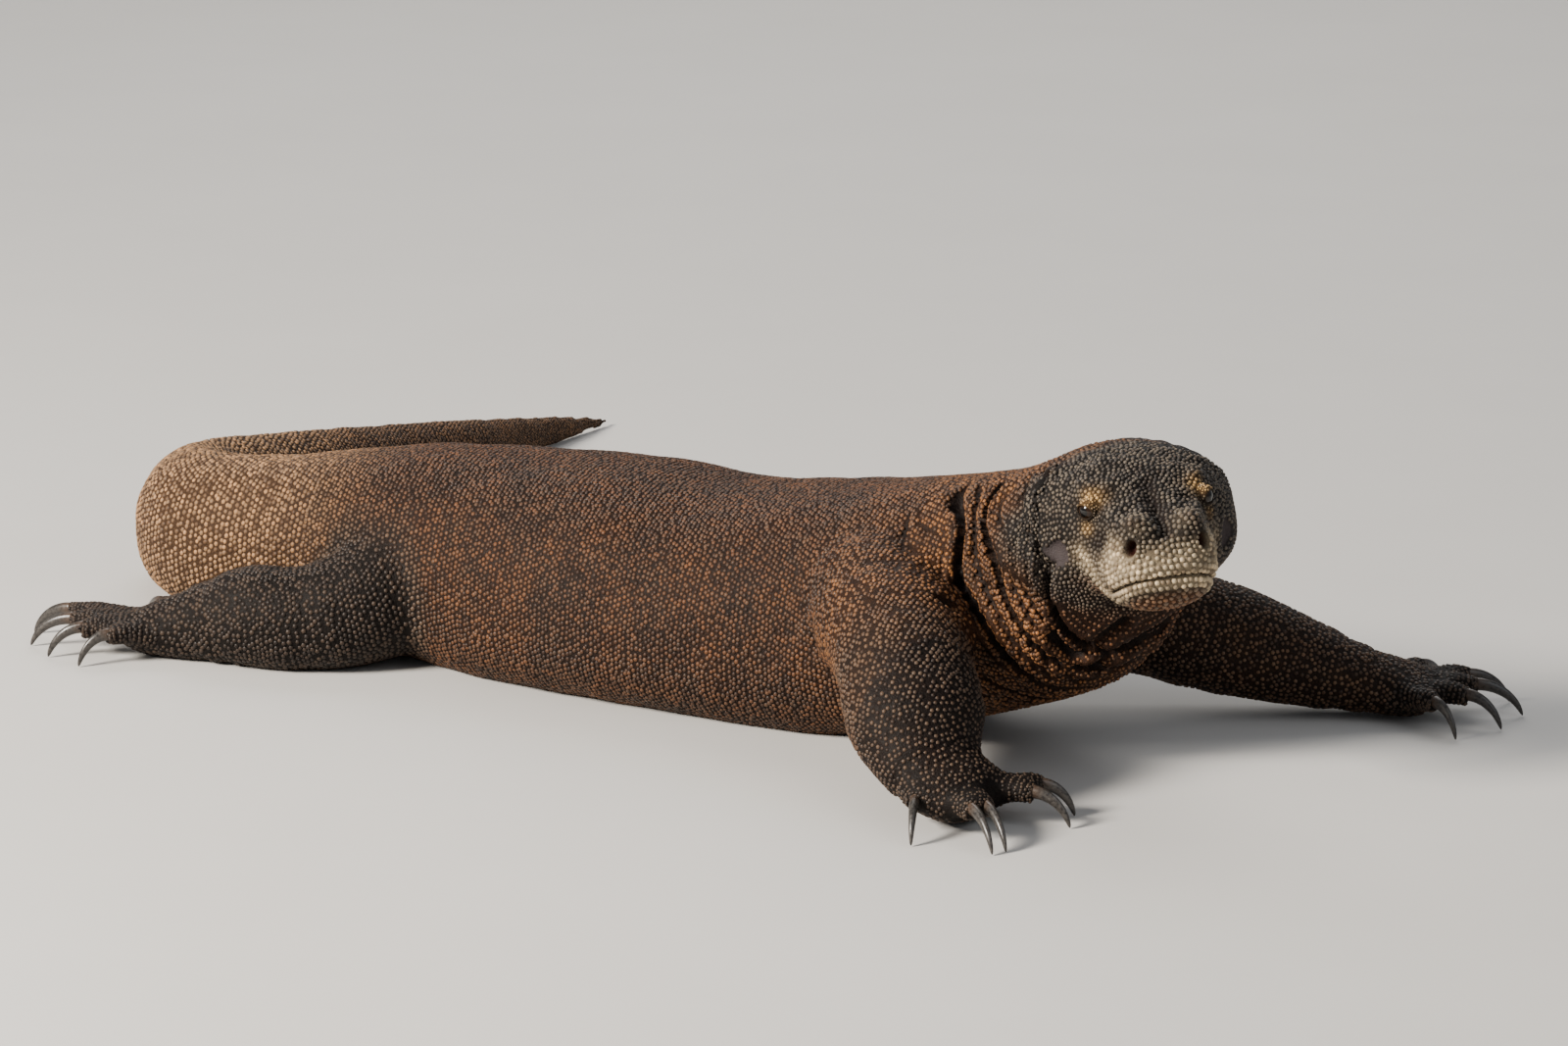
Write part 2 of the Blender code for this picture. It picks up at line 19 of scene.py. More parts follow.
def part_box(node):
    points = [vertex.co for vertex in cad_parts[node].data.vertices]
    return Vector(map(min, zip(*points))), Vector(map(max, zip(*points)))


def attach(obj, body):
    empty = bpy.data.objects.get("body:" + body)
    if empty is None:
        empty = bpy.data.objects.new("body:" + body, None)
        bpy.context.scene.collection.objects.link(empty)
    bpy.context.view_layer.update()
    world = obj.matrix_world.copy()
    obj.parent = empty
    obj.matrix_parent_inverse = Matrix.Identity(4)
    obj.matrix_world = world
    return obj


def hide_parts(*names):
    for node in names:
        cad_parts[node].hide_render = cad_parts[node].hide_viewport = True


bl_info = {
    "name": "Komodo dragon",
    "version": (1, 0, 0),
    "blender": (4, 5, 0),
    "location": "3D View > Sidebar > Komodo",
    "description": "Skin, scales, claws, eyes and stage of a life-size Komodo dragon",
    "category": "Object",
}

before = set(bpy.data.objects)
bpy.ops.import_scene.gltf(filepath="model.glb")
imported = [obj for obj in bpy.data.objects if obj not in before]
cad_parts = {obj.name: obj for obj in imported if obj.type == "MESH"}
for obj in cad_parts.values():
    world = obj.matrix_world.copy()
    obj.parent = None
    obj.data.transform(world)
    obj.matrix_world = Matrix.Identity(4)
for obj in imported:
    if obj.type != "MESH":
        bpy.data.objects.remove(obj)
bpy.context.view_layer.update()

# ---- The body's design, in metres, as the solids have it ----------------------------------------
STATION_STEPS, HEAD_STEPS, LIMB_STEPS = 6, 4, 5  # steps of the curve between two stations
PALM_REACH = 0.022
# x, y, lowest z, highest z, half width, and how far up the section is widest
BODY_STATIONS = (
    (0.475, -0.048, 0.172, 0.331, 0.064, 0.50),
    (0.430, -0.022, 0.100, 0.330, 0.085, 0.48),
    (0.372, -0.008, 0.062, 0.311, 0.094, 0.46),
    (0.300, 0.001, 0.036, 0.284, 0.104, 0.44),
    (0.205, 0.001, 0.004, 0.261, 0.133, 0.42),
    (0.100, 0.000, -0.020, 0.241, 0.151, 0.40),
    (-0.045, -0.012, -0.018, 0.221, 0.167, 0.38),
    (-0.165, -0.030, -0.017, 0.226, 0.168, 0.38),
    (-0.290, -0.056, -0.019, 0.222, 0.150, 0.40),
    (-0.405, -0.084, -0.010, 0.216, 0.121, 0.44),
    (-0.505, -0.102, -0.006, 0.199, 0.098, 0.46),
    (-0.590, -0.114, -0.005, 0.182, 0.084, 0.47),
)
BELLY_SQUARENESS, BACK_SQUARENESS = 2.5, 2.15
TAIL_LENGTH = 1.09
TAIL_START_HEADING, TAIL_TURN = 187.0, -88.0
TAIL_TURN_END = 0.31
TAIL_TIP_HALF_WIDTH, TAIL_TIP_HEIGHT = 0.005, 0.012
TAIL_POINTS = 56
# The head in its own axes: distance behind the snout's tip, half width, height above and below
SNOUT_TIP = (0.576, -0.119, 0.252)
HEAD_YAW, HEAD_PITCH, HEAD_ROLL = -39.5, 8.0, 5.0
HEAD_STATIONS = (
    (0.000, 0.022, 0.010, 0.026),
    (0.008, 0.038, 0.022, 0.042),
    (0.024, 0.050, 0.033, 0.055),
    (0.050, 0.057, 0.040, 0.064),
    (0.080, 0.062, 0.048, 0.069),
    (0.110, 0.076, 0.056, 0.072),
    (0.140, 0.091, 0.058, 0.073),
    (0.170, 0.099, 0.056, 0.072),
    (0.205, 0.094, 0.050, 0.070),
    (0.240, 0.078, 0.040, 0.062),
)
JAW_SQUARENESS = 2.7
EYE_BACK, EYE_OUT, EYE_UP = 0.103, 0.0570, 0.0270
# The lip line: distance behind the snout's tip, and height
LIP_LINE = (
    (-0.050, -0.008),
    (0.000, -0.010),
    (0.030, -0.030),
    (0.056, -0.044),
    (0.075, -0.040),
    (0.092, -0.023),
)
# Each limb: x, y, z, half width and half height, from its root to its palm or sole
LIMBS = {
    "front_right": (
        (0.160, -0.050, 0.140, 0.084, 0.086),
        (0.235, -0.118, 0.140, 0.074, 0.077),
        (0.303, -0.180, 0.120, 0.068, 0.068),
        (0.346, -0.217, 0.086, 0.070, 0.060),
        (0.376, -0.236, 0.058, 0.060, 0.047),
        (0.400, -0.242, 0.041, 0.052, 0.038),
        (0.430, -0.246, 0.031, 0.052, 0.032),
        (0.448, -0.249, 0.027, 0.044, 0.023),
    ),
    "front_left": (
        (0.155, 0.050, 0.130, 0.082, 0.084),
        (0.225, 0.122, 0.122, 0.072, 0.074),
        (0.305, 0.182, 0.100, 0.062, 0.062),
        (0.385, 0.236, 0.076, 0.058, 0.058),
        (0.450, 0.284, 0.052, 0.052, 0.046),
        (0.500, 0.318, 0.036, 0.045, 0.034),
        (0.536, 0.346, 0.027, 0.050, 0.028),
        (0.554, 0.360, 0.024, 0.043, 0.020),
    ),
    "hind_right": (
        (-0.385, -0.060, 0.110, 0.078, 0.084),
        (-0.392, -0.130, 0.094, 0.072, 0.078),
        (-0.404, -0.198, 0.066, 0.062, 0.064),
        (-0.452, -0.248, 0.052, 0.052, 0.056),
        (-0.498, -0.272, 0.052, 0.050, 0.055),
        (-0.548, -0.288, 0.040, 0.040, 0.042),
        (-0.600, -0.302, 0.028, 0.044, 0.031),
        (-0.630, -0.312, 0.024, 0.042, 0.022),
    ),
    "hind_left": (
        (-0.385, -0.030, 0.110, 0.078, 0.084),
        (-0.358, 0.045, 0.094, 0.072, 0.078),
        (-0.345, 0.115, 0.066, 0.062, 0.064),
        (-0.378, 0.163, 0.052, 0.052, 0.056),
        (-0.418, 0.188, 0.052, 0.052, 0.055),
        (-0.466, 0.206, 0.040, 0.040, 0.042),
        (-0.518, 0.216, 0.028, 0.044, 0.031),
        (-0.548, 0.220, 0.024, 0.042, 0.022),
    ),
}
# Each foot's digits: heading in degrees, length, place across the palm, and distance behind its middle
DIGITS = {
    "front_right": (
        (42, 0.030, 1.0, 0.0),
        (20, 0.032, 0.7, 0.0),
        (-28, 0.034, 0.0, 0.0),
        (-27, 0.032, -0.5, 0.0),
        (-56, 0.020, -0.8, 0.034),
    ),
    "front_left": (
        (-14, 0.034, -0.9, 0.010),
        (14, 0.044, -0.5, 0.0),
        (36, 0.052, 0.0, 0.0),
        (54, 0.048, 0.5, 0.0),
        (88, 0.032, 0.9, 0.014),
    ),
    "hind_right": (
        (238, 0.040, 0.9, 0.012),
        (222, 0.060, 0.5, 0.0),
        (208, 0.082, 0.05, 0.0),
        (195, 0.102, -0.4, 0.0),
        (160, 0.066, -0.9, 0.024),
    ),
    "hind_left": (
        (130, 0.040, -0.9, 0.012),
        (147, 0.060, -0.5, 0.0),
        (160, 0.082, -0.05, 0.0),
        (173, 0.102, 0.4, 0.0),
        (206, 0.066, 0.9, 0.024),
    ),
}
DIGIT_ROOT_RADIUS, DIGIT_TIP_RADIUS = 0.0160, 0.0130
DIGIT_ROOT_HEIGHT, DIGIT_TIP_HEIGHT = 0.024, 0.029
DIGIT_ARCH = 0.006
CLAW_LENGTH, CLAW_CURL = 0.056, 72.0
CLAW_SIZES = (0.78, 0.90, 1.12, 1.10, 0.98)
CLAW_HALF_HEIGHT, CLAW_HALF_WIDTH = 0.0068, 0.0052
CLAW_SET_IN, CLAW_RISE = 0.006, 0.004
CLAW_TIP_HEIGHT = 0.0012
CLAW_TAPER, CLAW_KEEL = 0.56, 0.28
CLAW_RINGS, CLAW_SIDES = 26, 16

# ---- Folds and bulges of the skin ----------------------------------------------------------------
SKIN_VOXEL, BLEND_ROUNDS = 0.0070, 8
SPINE_SIDES, HEAD_SIDES, LIMB_SIDES, DIGIT_SIDES = 44, 36, 24, 12
SKIN_RIPPLE = 0.0008
# Folds round the neck: the station where each crosses the back, its depth and its half width
NECK_FOLDS = (
    (4.05, 0.0020, 0.0050),
    (3.50, 0.0140, 0.0046),
    (3.22, 0.0030, 0.0045),
    (2.95, 0.0110, 0.0046),
    (2.62, 0.0040, 0.0045),
    (2.32, 0.0045, 0.0045),
    (2.00, 0.0035, 0.0045),
    (1.65, 0.0130, 0.0055),
)
NECK_FOLD_SLANT = 2.1  # stations by which a fold leans forward from the back to the belly
STATION_LENGTH = 0.072  # metres between stations of the neck
PLEAT_PITCH, PLEAT_DEPTH = 0.0100, 0.0024
LEFT_FOLD_SHARE = 0.6  # folds are shallower on the outer side of the bent neck
# Single creases: depth, half width and points in the design's axes
CREASES = (
    (
        0.010,
        0.0060,
        (0.412, -0.085, 0.150),
        (0.423, -0.066, 0.124),
        (0.445, -0.062, 0.140),
        (0.47, -0.05, 0.165),
    ),
    (0.009, 0.0060, (0.416, -0.064, 0.104), (0.43, -0.046, 0.114), (0.473, -0.02, 0.145), (0.49, 0.01, 0.16)),
    (0.006, 0.0055, (0.400, -0.060, 0.088), (0.428, -0.030, 0.098), (0.462, 0.010, 0.128)),
    (0.008, 0.0070, (0.335, -0.12, 0.18), (0.345, -0.11, 0.13), (0.352, -0.105, 0.08), (0.35, -0.11, 0.05)),
    (0.004, 0.0080, (0.130, -0.160, 0.060), (0.160, -0.150, 0.110), (0.180, -0.150, 0.150)),
)
CREST_HEIGHT, CREST_HALF_WIDTH = 0.0060, 0.30
WRIST_RING, KNUCKLE = 0.0012, 0.0016
# Reliefs of the head, each in metres over the skin
BROW_LINE = ((0.030, 0.034, 0.030), (0.060, 0.043, 0.034), (0.090, 0.052, 0.044), (0.125, 0.058, 0.046))
BROW_RISE, BROW_HALF_WIDTH = 0.0065, 0.0085
CROWN_RIPPLE, SNOUT_DISH = 0.0012, 0.0080
NOSTRIL_SWELL, TEMPLE_HOLLOW, JAW_MUSCLE = 0.0120, 0.0050, 0.0050
JOWL_SWELL, LEFT_JOWL_EXTRA = 0.009, 0.007
LIP_GROOVE, UPPER_LIP_SWELL, LOWER_LIP_SWELL = 0.0050, 0.0016, 0.0018
EAR_SINK, EAR_RIM = 0.0025, 0.0015
# The head ends this far behind the snout's tip
HEAD_END = 0.172
# Openings of the head: centre, the way it faces, and its half length and half height
NOSTRIL = ((0.017, 0.0345, 0.0165), (0.62, 0.76, 0.20), (0.0060, 0.0078))
EYE = ((0.0985, 0.0540, EYE_UP), (0.60, 0.80, 0.05), (0.0080, 0.0060))
EYEBALL_RADIUS, LID_THICKNESS, LID_RIM = 0.0116, 0.0008, 0.0010
EYE_SUNK, NOSTRIL_PIT, NOSTRIL_RIM = 0.0070, 0.0100, 0.0022
EYEBALL_RINGS, EYEBALL_SIDES = 28, 32
EAR_BACK, EAR_UP, EAR_LONG, EAR_TALL = 0.121, -0.024, 0.0095, 0.0140

# ---- Markings --------------------------------------------------------------------------------------
# Stations at which a limb's dark colour starts and is full, and how full it gets. The dark is the limbs' own
# colour; that the hind limbs get all of it and the front limbs less is partly painted shade over the hind
# limbs and painted light on the front ones.
LIMB_COLOUR = {"front": (1.35, 2.35, 0.68), "hind": (1.10, 1.90, 1.0)}
# Yellow patches: place behind the tip, out and up, radius and strength
YELLOW_PATCHES = ((0.097, 0.056, 0.041, 0.014, 1.0), (0.088, 0.062, 0.012, 0.009, 0.6))

# ---- Scales ----------------------------------------------------------------------------------------
# Stretches of the spine: where each ends, and its scales' size as a share of the pitch
SPINE_STRETCHES = ((0.50, 1.0), (0.74, 1.15), (0.88, 0.88), (0.97, 0.62), (1.0, 0.42))
SCALE_HALF, LIMB_SCALE_HALF, HEAD_SCALE_HALF = 0.53, 0.48, 0.52  # half widths as shares of the pitch
LIMB_CROWD, LIMB_GAP = 0.55, 0.68
DIGIT_PITCH_ALONG, DIGIT_PITCH_ACROSS = 0.0046, 0.0052
ROOT_REACH, LOWEST_ROOT = 0.022, 0.0015
RIM_SINK, CROWN_HEIGHT, CROWN_SHARE = 0.35, 0.72, 0.70
MOSAIC_TRIES, MOSAIC_ROUNDS, MOSAIC_SEED = 22000, 5, 17
# Rows beside the lip line: height over it and pitch
LIP_ROWS = ((0.0042, 0.0056), (-0.0042, 0.0056), (0.0100, 0.0062), (-0.0098, 0.0060))
PIECE_NAMES = ("head", "neck", "chest", "belly", "tail", "front_limbs", "hind_limbs")
BODY_PIECE_ENDS = (4.6, 7.2, 10.0)  # stations at which the neck, chest and belly end
FRONT_PIECE, HIND_PIECE = 5, 6
HIND_SHADE = 0.60  # painted shade over the hind limbs: how far their scales go at least towards the folds' colour
COAT_SEED = 5
PATCH_RADIUS = 0.0015
GIRTH_STEPS, RINGS_ALIKE = 121, 9  # steps round a ring; rings that share a number of roots
BELOW_ONE = 0.999999
MAP_LOW, MAP_HIGH = 0.02, 0.98

# ---- Stage -----------------------------------------------------------------------------------------
FLOOR_HALF, FLOOR_SQUARES = 14, 7
AIM_HEIGHT = 0.18
SENSOR_WIDTH = 36.0
# Each light: offset to the right, towards the camera and up, its size and its colour
LIGHTS = {
    "key": ((-4.2, 2.6, 2.75), 1.45, (1.0, 0.93, 0.84)),
    "fill": ((3.9, 3.6, 4.2), 4.9, (0.92, 0.96, 1.0)),
    "back": ((0.0, -4.8, 4.5), 4.8, (1.0, 0.98, 0.95)),
}
SKY_COLOUR, SKY_STRENGTH = (0.90, 0.93, 1.0, 1.0), 0.30


def smooth_rows(rows, steps):
    """A Catmull-Rom curve through the rows: each step blends four neighbouring rows by a cubic."""
    rows = np.array(rows, float)
    padded = np.vstack([2 * rows[0] - rows[1], rows, 2 * rows[-1] - rows[-2]])
    a, b, c, d = (padded[k : len(padded) - 3 + k, None] for k in range(4))
    t = np.linspace(0, 1, steps, endpoint=False)[None, :, None]
    found = b + 0.5 * t * (c - a) + t * t * (a - 2.5 * b + 2 * c - 0.5 * d)
    found = found + t**3 * (1.5 * (b - c) + 0.5 * (d - a))
    return np.vstack([found.reshape(-1, rows.shape[1]), rows[-1:]])


def unit(vectors):
    """The vectors at length 1."""
    return vectors / np.maximum(np.linalg.norm(vectors, axis=-1, keepdims=True), 1e-12)


def path_frames(points):
    """Unit vectors across and over a path: across is level, and over completes the right angle."""
    along = unit(np.gradient(points, axis=0))
    across = unit(np.cross((0.0, 0.0, 1.0), along))
    return across, np.cross(along, across)


def smoothstep(start, end, value):
    """0 before start, 1 after end, and 3t² − 2t³ between them. End may lie below start."""
    t = np.clip((value - start) / (end - start), 0, 1)
    return t * t * (3 - 2 * t)


def bell(distance, width):
    """1 at no distance, and e to the power of minus (distance / width)² elsewhere."""
    return np.exp(-((distance / width) ** 2))


def ripple(points, size, seed):
    """Smooth noise from −1 to 1: the mean of five sine waves of different directions and phases."""
    draw = np.random.default_rng(seed)
    ways = unit(draw.normal(size=(5, 3))) * draw.uniform(0.6, 1.6, (5, 1))
    phases = draw.uniform(0, 2 * math.pi, 5)
    return np.sin(points @ ways.T * (2 * math.pi / size) + phases).mean(1) * 1.6


# ---- Sweeps: oval sections carried along a path ---------------------------------------------------
class Sweep:
    """Sections of half width w, height t above and b below a path. A point at angle a of the section
    lies w·cos(a) across and t or b times sin(a) over the path, each raised to 2 / squareness."""

    def __init__(self, centres, across, over, half_width, top, bottom, square_top=2.0, square_bottom=2.0):
        self.rows = np.column_stack([centres, across, over, half_width, top, bottom])
        self.squares = square_top, square_bottom
        steps = np.linalg.norm(np.diff(centres, axis=0), axis=1)
        self.distance = np.concatenate([[0.0], np.cumsum(steps)])
        self.along = unit(np.gradient(centres, axis=0))

    def at(self, places):
        """The rows at fractional places, blended in a straight line."""
        numbers = np.arange(len(self.rows))
        return np.column_stack([np.interp(places, numbers, column) for column in self.rows.T])

    def points(self, places, angles):
        """The surface at n places and, for each, m angles: an n × m grid of points."""
        row = self.at(places)
        upper = np.sin(angles) > 0
        share = 2 / np.where(upper, *self.squares)
        aside = np.sign(np.cos(angles)) * np.abs(np.cos(angles)) ** share * row[:, 9:10]
        rise = np.sign(np.sin(angles)) * np.abs(np.sin(angles)) ** share
        rise = rise * np.where(upper, row[:, 10:11], row[:, 11:12])
        return row[:, None, :3] + row[:, None, 3:6] * aside[..., None] + row[:, None, 6:9] * rise[..., None]

    def grid(self, sides):
        """A ring of evenly spaced angles at every row."""
        places = np.arange(len(self.rows), dtype=float)
        angles = np.broadcast_to(np.linspace(0, 2 * math.pi, sides, endpoint=False), (len(places), sides))
        return self.points(places, angles)

    def locate(self, points, flat=False):
        """For each point: its place along the path, its angle, and its reach, which is 1 on the surface."""
        use = slice(0, 2) if flat else slice(0, 3)
        centres = self.rows[:, use]
        p = points[:, use]
        apart = (p**2).sum(1)[:, None] + (centres**2).sum(1)[None] - 2 * p @ centres.T
        near = apart.argmin(1)
        ahead = ((p - centres[near]) * self.along[near, use]).sum(1)
        gap = np.gradient(self.distance)[near]
        raw = near + ahead / gap
        place = np.clip(raw, 0, len(centres) - 1)
        row = self.at(place)
        offset = points - row[:, :3]
        aside = (offset * row[:, 3:6]).sum(1) / row[:, 9]
        rise = (offset * row[:, 6:9]).sum(1)
        rise = rise / np.where(rise > 0, row[:, 10], row[:, 11])
        past = (raw - place) * gap / row[:, 9]
        share = np.where(rise > 0, *self.squares)
        reach = (np.abs(aside) ** share + np.abs(rise) ** share) ** (1 / share)
        return place, np.arctan2(rise, aside), np.sqrt(reach**2 + past**2)


def head_matrix():
    """The head's axes: X forward along the snout, Y to the left, Z up, the origin at the snout's tip."""
    turn = (
        Matrix.Rotation(math.radians(HEAD_YAW), 4, "Z")
        @ Matrix.Rotation(math.radians(HEAD_PITCH), 4, "Y")
        @ Matrix.Rotation(math.radians(HEAD_ROLL), 4, "X")
    )
    return Matrix.Translation(SNOUT_TIP) @ turn


def frame_shift():
    """The step from the design's axes to the frame's, measured at the right eye."""
    low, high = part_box("eye_right")
    centre = (np.array(low) + np.array(high)) / 2
    return centre - np.array(head_matrix() @ Vector((-EYE_BACK, -EYE_OUT, EYE_UP)))


SHIFT = frame_shift()
HEAD_AXES = np.array(head_matrix())
HEAD_AXES[:3, 3] += SHIFT


def to_head(points):
    """Distance behind the snout's tip, distance to the left and height, in the head's axes."""
    local = (points - HEAD_AXES[:3, 3]) @ HEAD_AXES[:3, :3]
    return -local[:, 0], local[:, 1], local[:, 2]


def from_head(back, left, up):
    """The opposite of to_head."""
    local = np.stack(np.broadcast_arrays(-np.asarray(back, float), left, up), axis=-1)
    return HEAD_AXES[:3, 3] + local @ HEAD_AXES[:3, :3].T


def tail_rows():
    """Rows past the last station: the heading turns by a smooth step, width and height fall by powers."""
    x, y, low, high, half_width, widest = BODY_STATIONS[-1]
    share = np.linspace(0, 1, TAIL_POINTS)
    heading = np.radians(TAIL_START_HEADING + TAIL_TURN * smoothstep(0, TAIL_TURN_END, share))
    step = TAIL_LENGTH / (TAIL_POINTS - 1)
    rows = np.empty((TAIL_POINTS, 6))
    rows[:, 0] = x + np.concatenate([[0], np.cumsum(np.cos(heading[:-1]))]) * step
    rows[:, 1] = y + np.concatenate([[0], np.cumsum(np.sin(heading[:-1]))]) * step
    rows[:, 2] = low * (1 - share)
    rows[:, 3] = TAIL_TIP_HEIGHT + (high - TAIL_TIP_HEIGHT) * (1 - share) ** 0.88
    rows[:, 4] = TAIL_TIP_HALF_WIDTH + (half_width - TAIL_TIP_HALF_WIDTH) * (1 - share) ** 1.1
    rows[:, 5] = widest
    return rows[1:]


def spine_sweep():
    """The trunk, neck and tail. Each centre lies at the height where the section is widest."""
    rows = np.vstack([smooth_rows(BODY_STATIONS, STATION_STEPS), tail_rows()])
    low, high = rows[:, 2], rows[:, 3]
    middle = low + rows[:, 5] * (high - low)
    centres = np.column_stack([rows[:, 0], rows[:, 1], middle])
    across, over = path_frames(centres * (1, 1, 0))
    heights = high - middle, middle - low
    return Sweep(centres + SHIFT, across, over, rows[:, 4], *heights, BACK_SQUARENESS, BELLY_SQUARENESS)


def head_sweep():
    """The head along its own X axis."""
    rows = smooth_rows(HEAD_STATIONS, HEAD_STEPS)
    across = np.tile(-HEAD_AXES[:3, 1], (len(rows), 1))
    over = np.tile(HEAD_AXES[:3, 2], (len(rows), 1))
    centres = from_head(rows[:, 0], 0.0, 0.0)
    return Sweep(centres, across, over, rows[:, 1], rows[:, 2], rows[:, 3], square_bottom=JAW_SQUARENESS)


def limb_sweep(name):
    """A limb from its root to its palm or sole."""
    rows = smooth_rows(LIMBS[name], LIMB_STEPS)
    return Sweep(rows[:, :3] + SHIFT, *path_frames(rows[:, :3]), rows[:, 3], rows[:, 4], rows[:, 4])


def digit_path(limb, number):
    """The digit's arched path from inside the palm to its end, its radii, and the way it points."""
    heading, length, side, behind = DIGITS[limb][number]
    palm = np.array(LIMBS[limb][-2])
    forward = unit(np.array(LIMBS[limb][-1][:2]) - palm[:2])
    left = np.array([-forward[1], forward[0]])
    root = palm[:2] + left * side * (palm[3] - DIGIT_ROOT_RADIUS) - forward * behind
    way = np.array([math.cos(math.radians(heading)), math.sin(math.radians(heading)), 0.0])
    share = np.linspace(0, 1, 7)
    radius = DIGIT_ROOT_RADIUS + (DIGIT_TIP_RADIUS - DIGIT_ROOT_RADIUS) * share
    height = DIGIT_ROOT_HEIGHT + (DIGIT_TIP_HEIGHT - DIGIT_ROOT_HEIGHT) * share
    height += DIGIT_ARCH * np.sin(math.pi * share)
    points = np.array([*root, 0.0]) + np.outer(share * (PALM_REACH + length), way)
    points[:, 2] = height
    return points + SHIFT, radius, way


def digit_sweep(limb, number):
    """A digit without its claw."""
    points, radius, _ = digit_path(limb, number)
    return Sweep(points, *path_frames(points), radius, radius, radius)


def all_sweeps():
    """Every sweep of the flesh by name, in a fixed order: a skin point's owner is its number here."""
    sweeps = {"spine": spine_sweep(), "head": head_sweep()}
    for limb in LIMBS:
        sweeps[limb] = limb_sweep(limb)
    for limb in LIMBS:
        for number in range(5):
            sweeps[f"{limb}_digit_{number + 1}"] = digit_sweep(limb, number)
    return sweeps


SWEEPS = all_sweeps()
OWNERS = list(SWEEPS)


# ---- Meshes from arrays ---------------------------------------------------------------------------
def tube_faces(rings, sides):
    """Triangles of a grid of rings, with a fan to one more point at each end."""
    here = np.arange(rings * sides).reshape(rings, sides)
    beside = np.roll(here, -1, axis=1)
    a, b, c, d = here[:-1].ravel(), beside[:-1].ravel(), beside[1:].ravel(), here[1:].ravel()
    first, last = np.full(sides, rings * sides), np.full(sides, rings * sides + 1)
    return np.vstack(
        [
            np.column_stack([a, b, c]),
            np.column_stack([a, c, d]),
            np.column_stack([first, beside[0], here[0]]),
            np.column_stack([last, here[-1], beside[-1]]),
        ]
    )


def closed_tube(grid):
    """Points and triangles of a grid of rings closed at both ends."""
    rings, sides = grid.shape[:2]
    ends = np.vstack([grid[0].mean(0), grid[-1].mean(0)])
    return np.vstack([grid.reshape(-1, 3), ends]), tube_faces(rings, sides)


def joined(parts):
    """Several (points, triangles) pairs as one."""
    starts = np.cumsum([0] + [len(points) for points, _ in parts[:-1]])
    return np.vstack([p for p, _ in parts]), np.vstack([f + start for start, (_, f) in zip(starts, parts)])


def mesh_object(name, points, faces):
    """A smooth-shaded object from arrays of points and triangles."""
    mesh = bpy.data.meshes.new(name)
    mesh.vertices.add(len(points))
    mesh.vertices.foreach_set("co", points.astype(np.float32).ravel())
    mesh.loops.add(faces.size)
    mesh.loops.foreach_set("vertex_index", faces.astype(np.int32).ravel())
    mesh.polygons.add(len(faces))
    mesh.polygons.foreach_set("loop_start", np.arange(0, faces.size, 3, dtype=np.int32))
    mesh.update(calc_edges=True)
    mesh.shade_smooth()
    obj = bpy.data.objects.new(name, mesh)
    bpy.context.scene.collection.objects.link(obj)
    return obj


def vertex_rows(mesh, name):
    """The places ("co") or smooth normals ("normal") of the mesh's vertices, as rows."""
    found = np.empty(len(mesh.vertices) * 3, np.float32)
    mesh.vertices.foreach_get(name, found)
    return found.reshape(-1, 3).astype(float)


def put_colours(mesh, name, values):
    """Stores a row of four numbers for every vertex."""
    layer = mesh.attributes.new(name, "FLOAT_COLOR", "POINT")
    layer.data.foreach_set("color", values.astype(np.float32).ravel())


def remove(obj):
    """Deletes an object with its mesh."""
    mesh = obj.data
    bpy.data.objects.remove(obj)
    bpy.data.meshes.remove(mesh)


def point_tree(points):
    """A tree that finds the points nearest to a place."""
    tree = KDTree(len(points))
    for number, point in enumerate(points):
        tree.insert(point, number)
    tree.balance()
    return tree


# ---- Markings: the same weights for the skin and every scale on it ---------------------------------
def lip_height(back):
    """Height of the lip line at a distance behind the snout's tip."""
    return np.interp(back, *np.array(LIP_LINE).T)


def on_spine(points):
    """Each point's station along the spine, its share of the tail's length, its angle and its reach."""
    place, angle, reach = SWEEPS["spine"].locate(points, flat=True)
    share = (place - STATION_STEPS * (len(BODY_STATIONS) - 1)) / (TAIL_POINTS - 1)
    return place / STATION_STEPS, share, angle, reach


def head_reach(points):
    """1 on the head's sweep, less inside it and more outside."""
    return SWEEPS["head"].locate(points)[2]


def flesh_owner(points):
    """The number of the sweep in which each point's reach is least. The head takes all that is near it
    ahead of the neck's last fold, and the spine all that is behind."""
    reach = np.stack([SWEEPS[name].locate(points, flat=name == "spine")[2] for name in OWNERS])
    on_head = (to_head(points)[0] < HEAD_END) & (reach[1] < 1.35)
    reach[0] = np.where(on_head, 9.0, reach[0])
    reach[1] = np.where(on_head, 0.0, 9.0)
    return reach.argmin(0)


def limb_weight(points, name):
    """1 on the limb beyond its shoulder or hip, fading to 0 over the root and away from the limb."""
    place, _, reach = SWEEPS[name].locate(points)
    start, end, _ = LIMB_COLOUR[name.split("_")[0]]
    return smoothstep(start * LIMB_STEPS, end * LIMB_STEPS, place) * smoothstep(1.45, 1.08, reach)


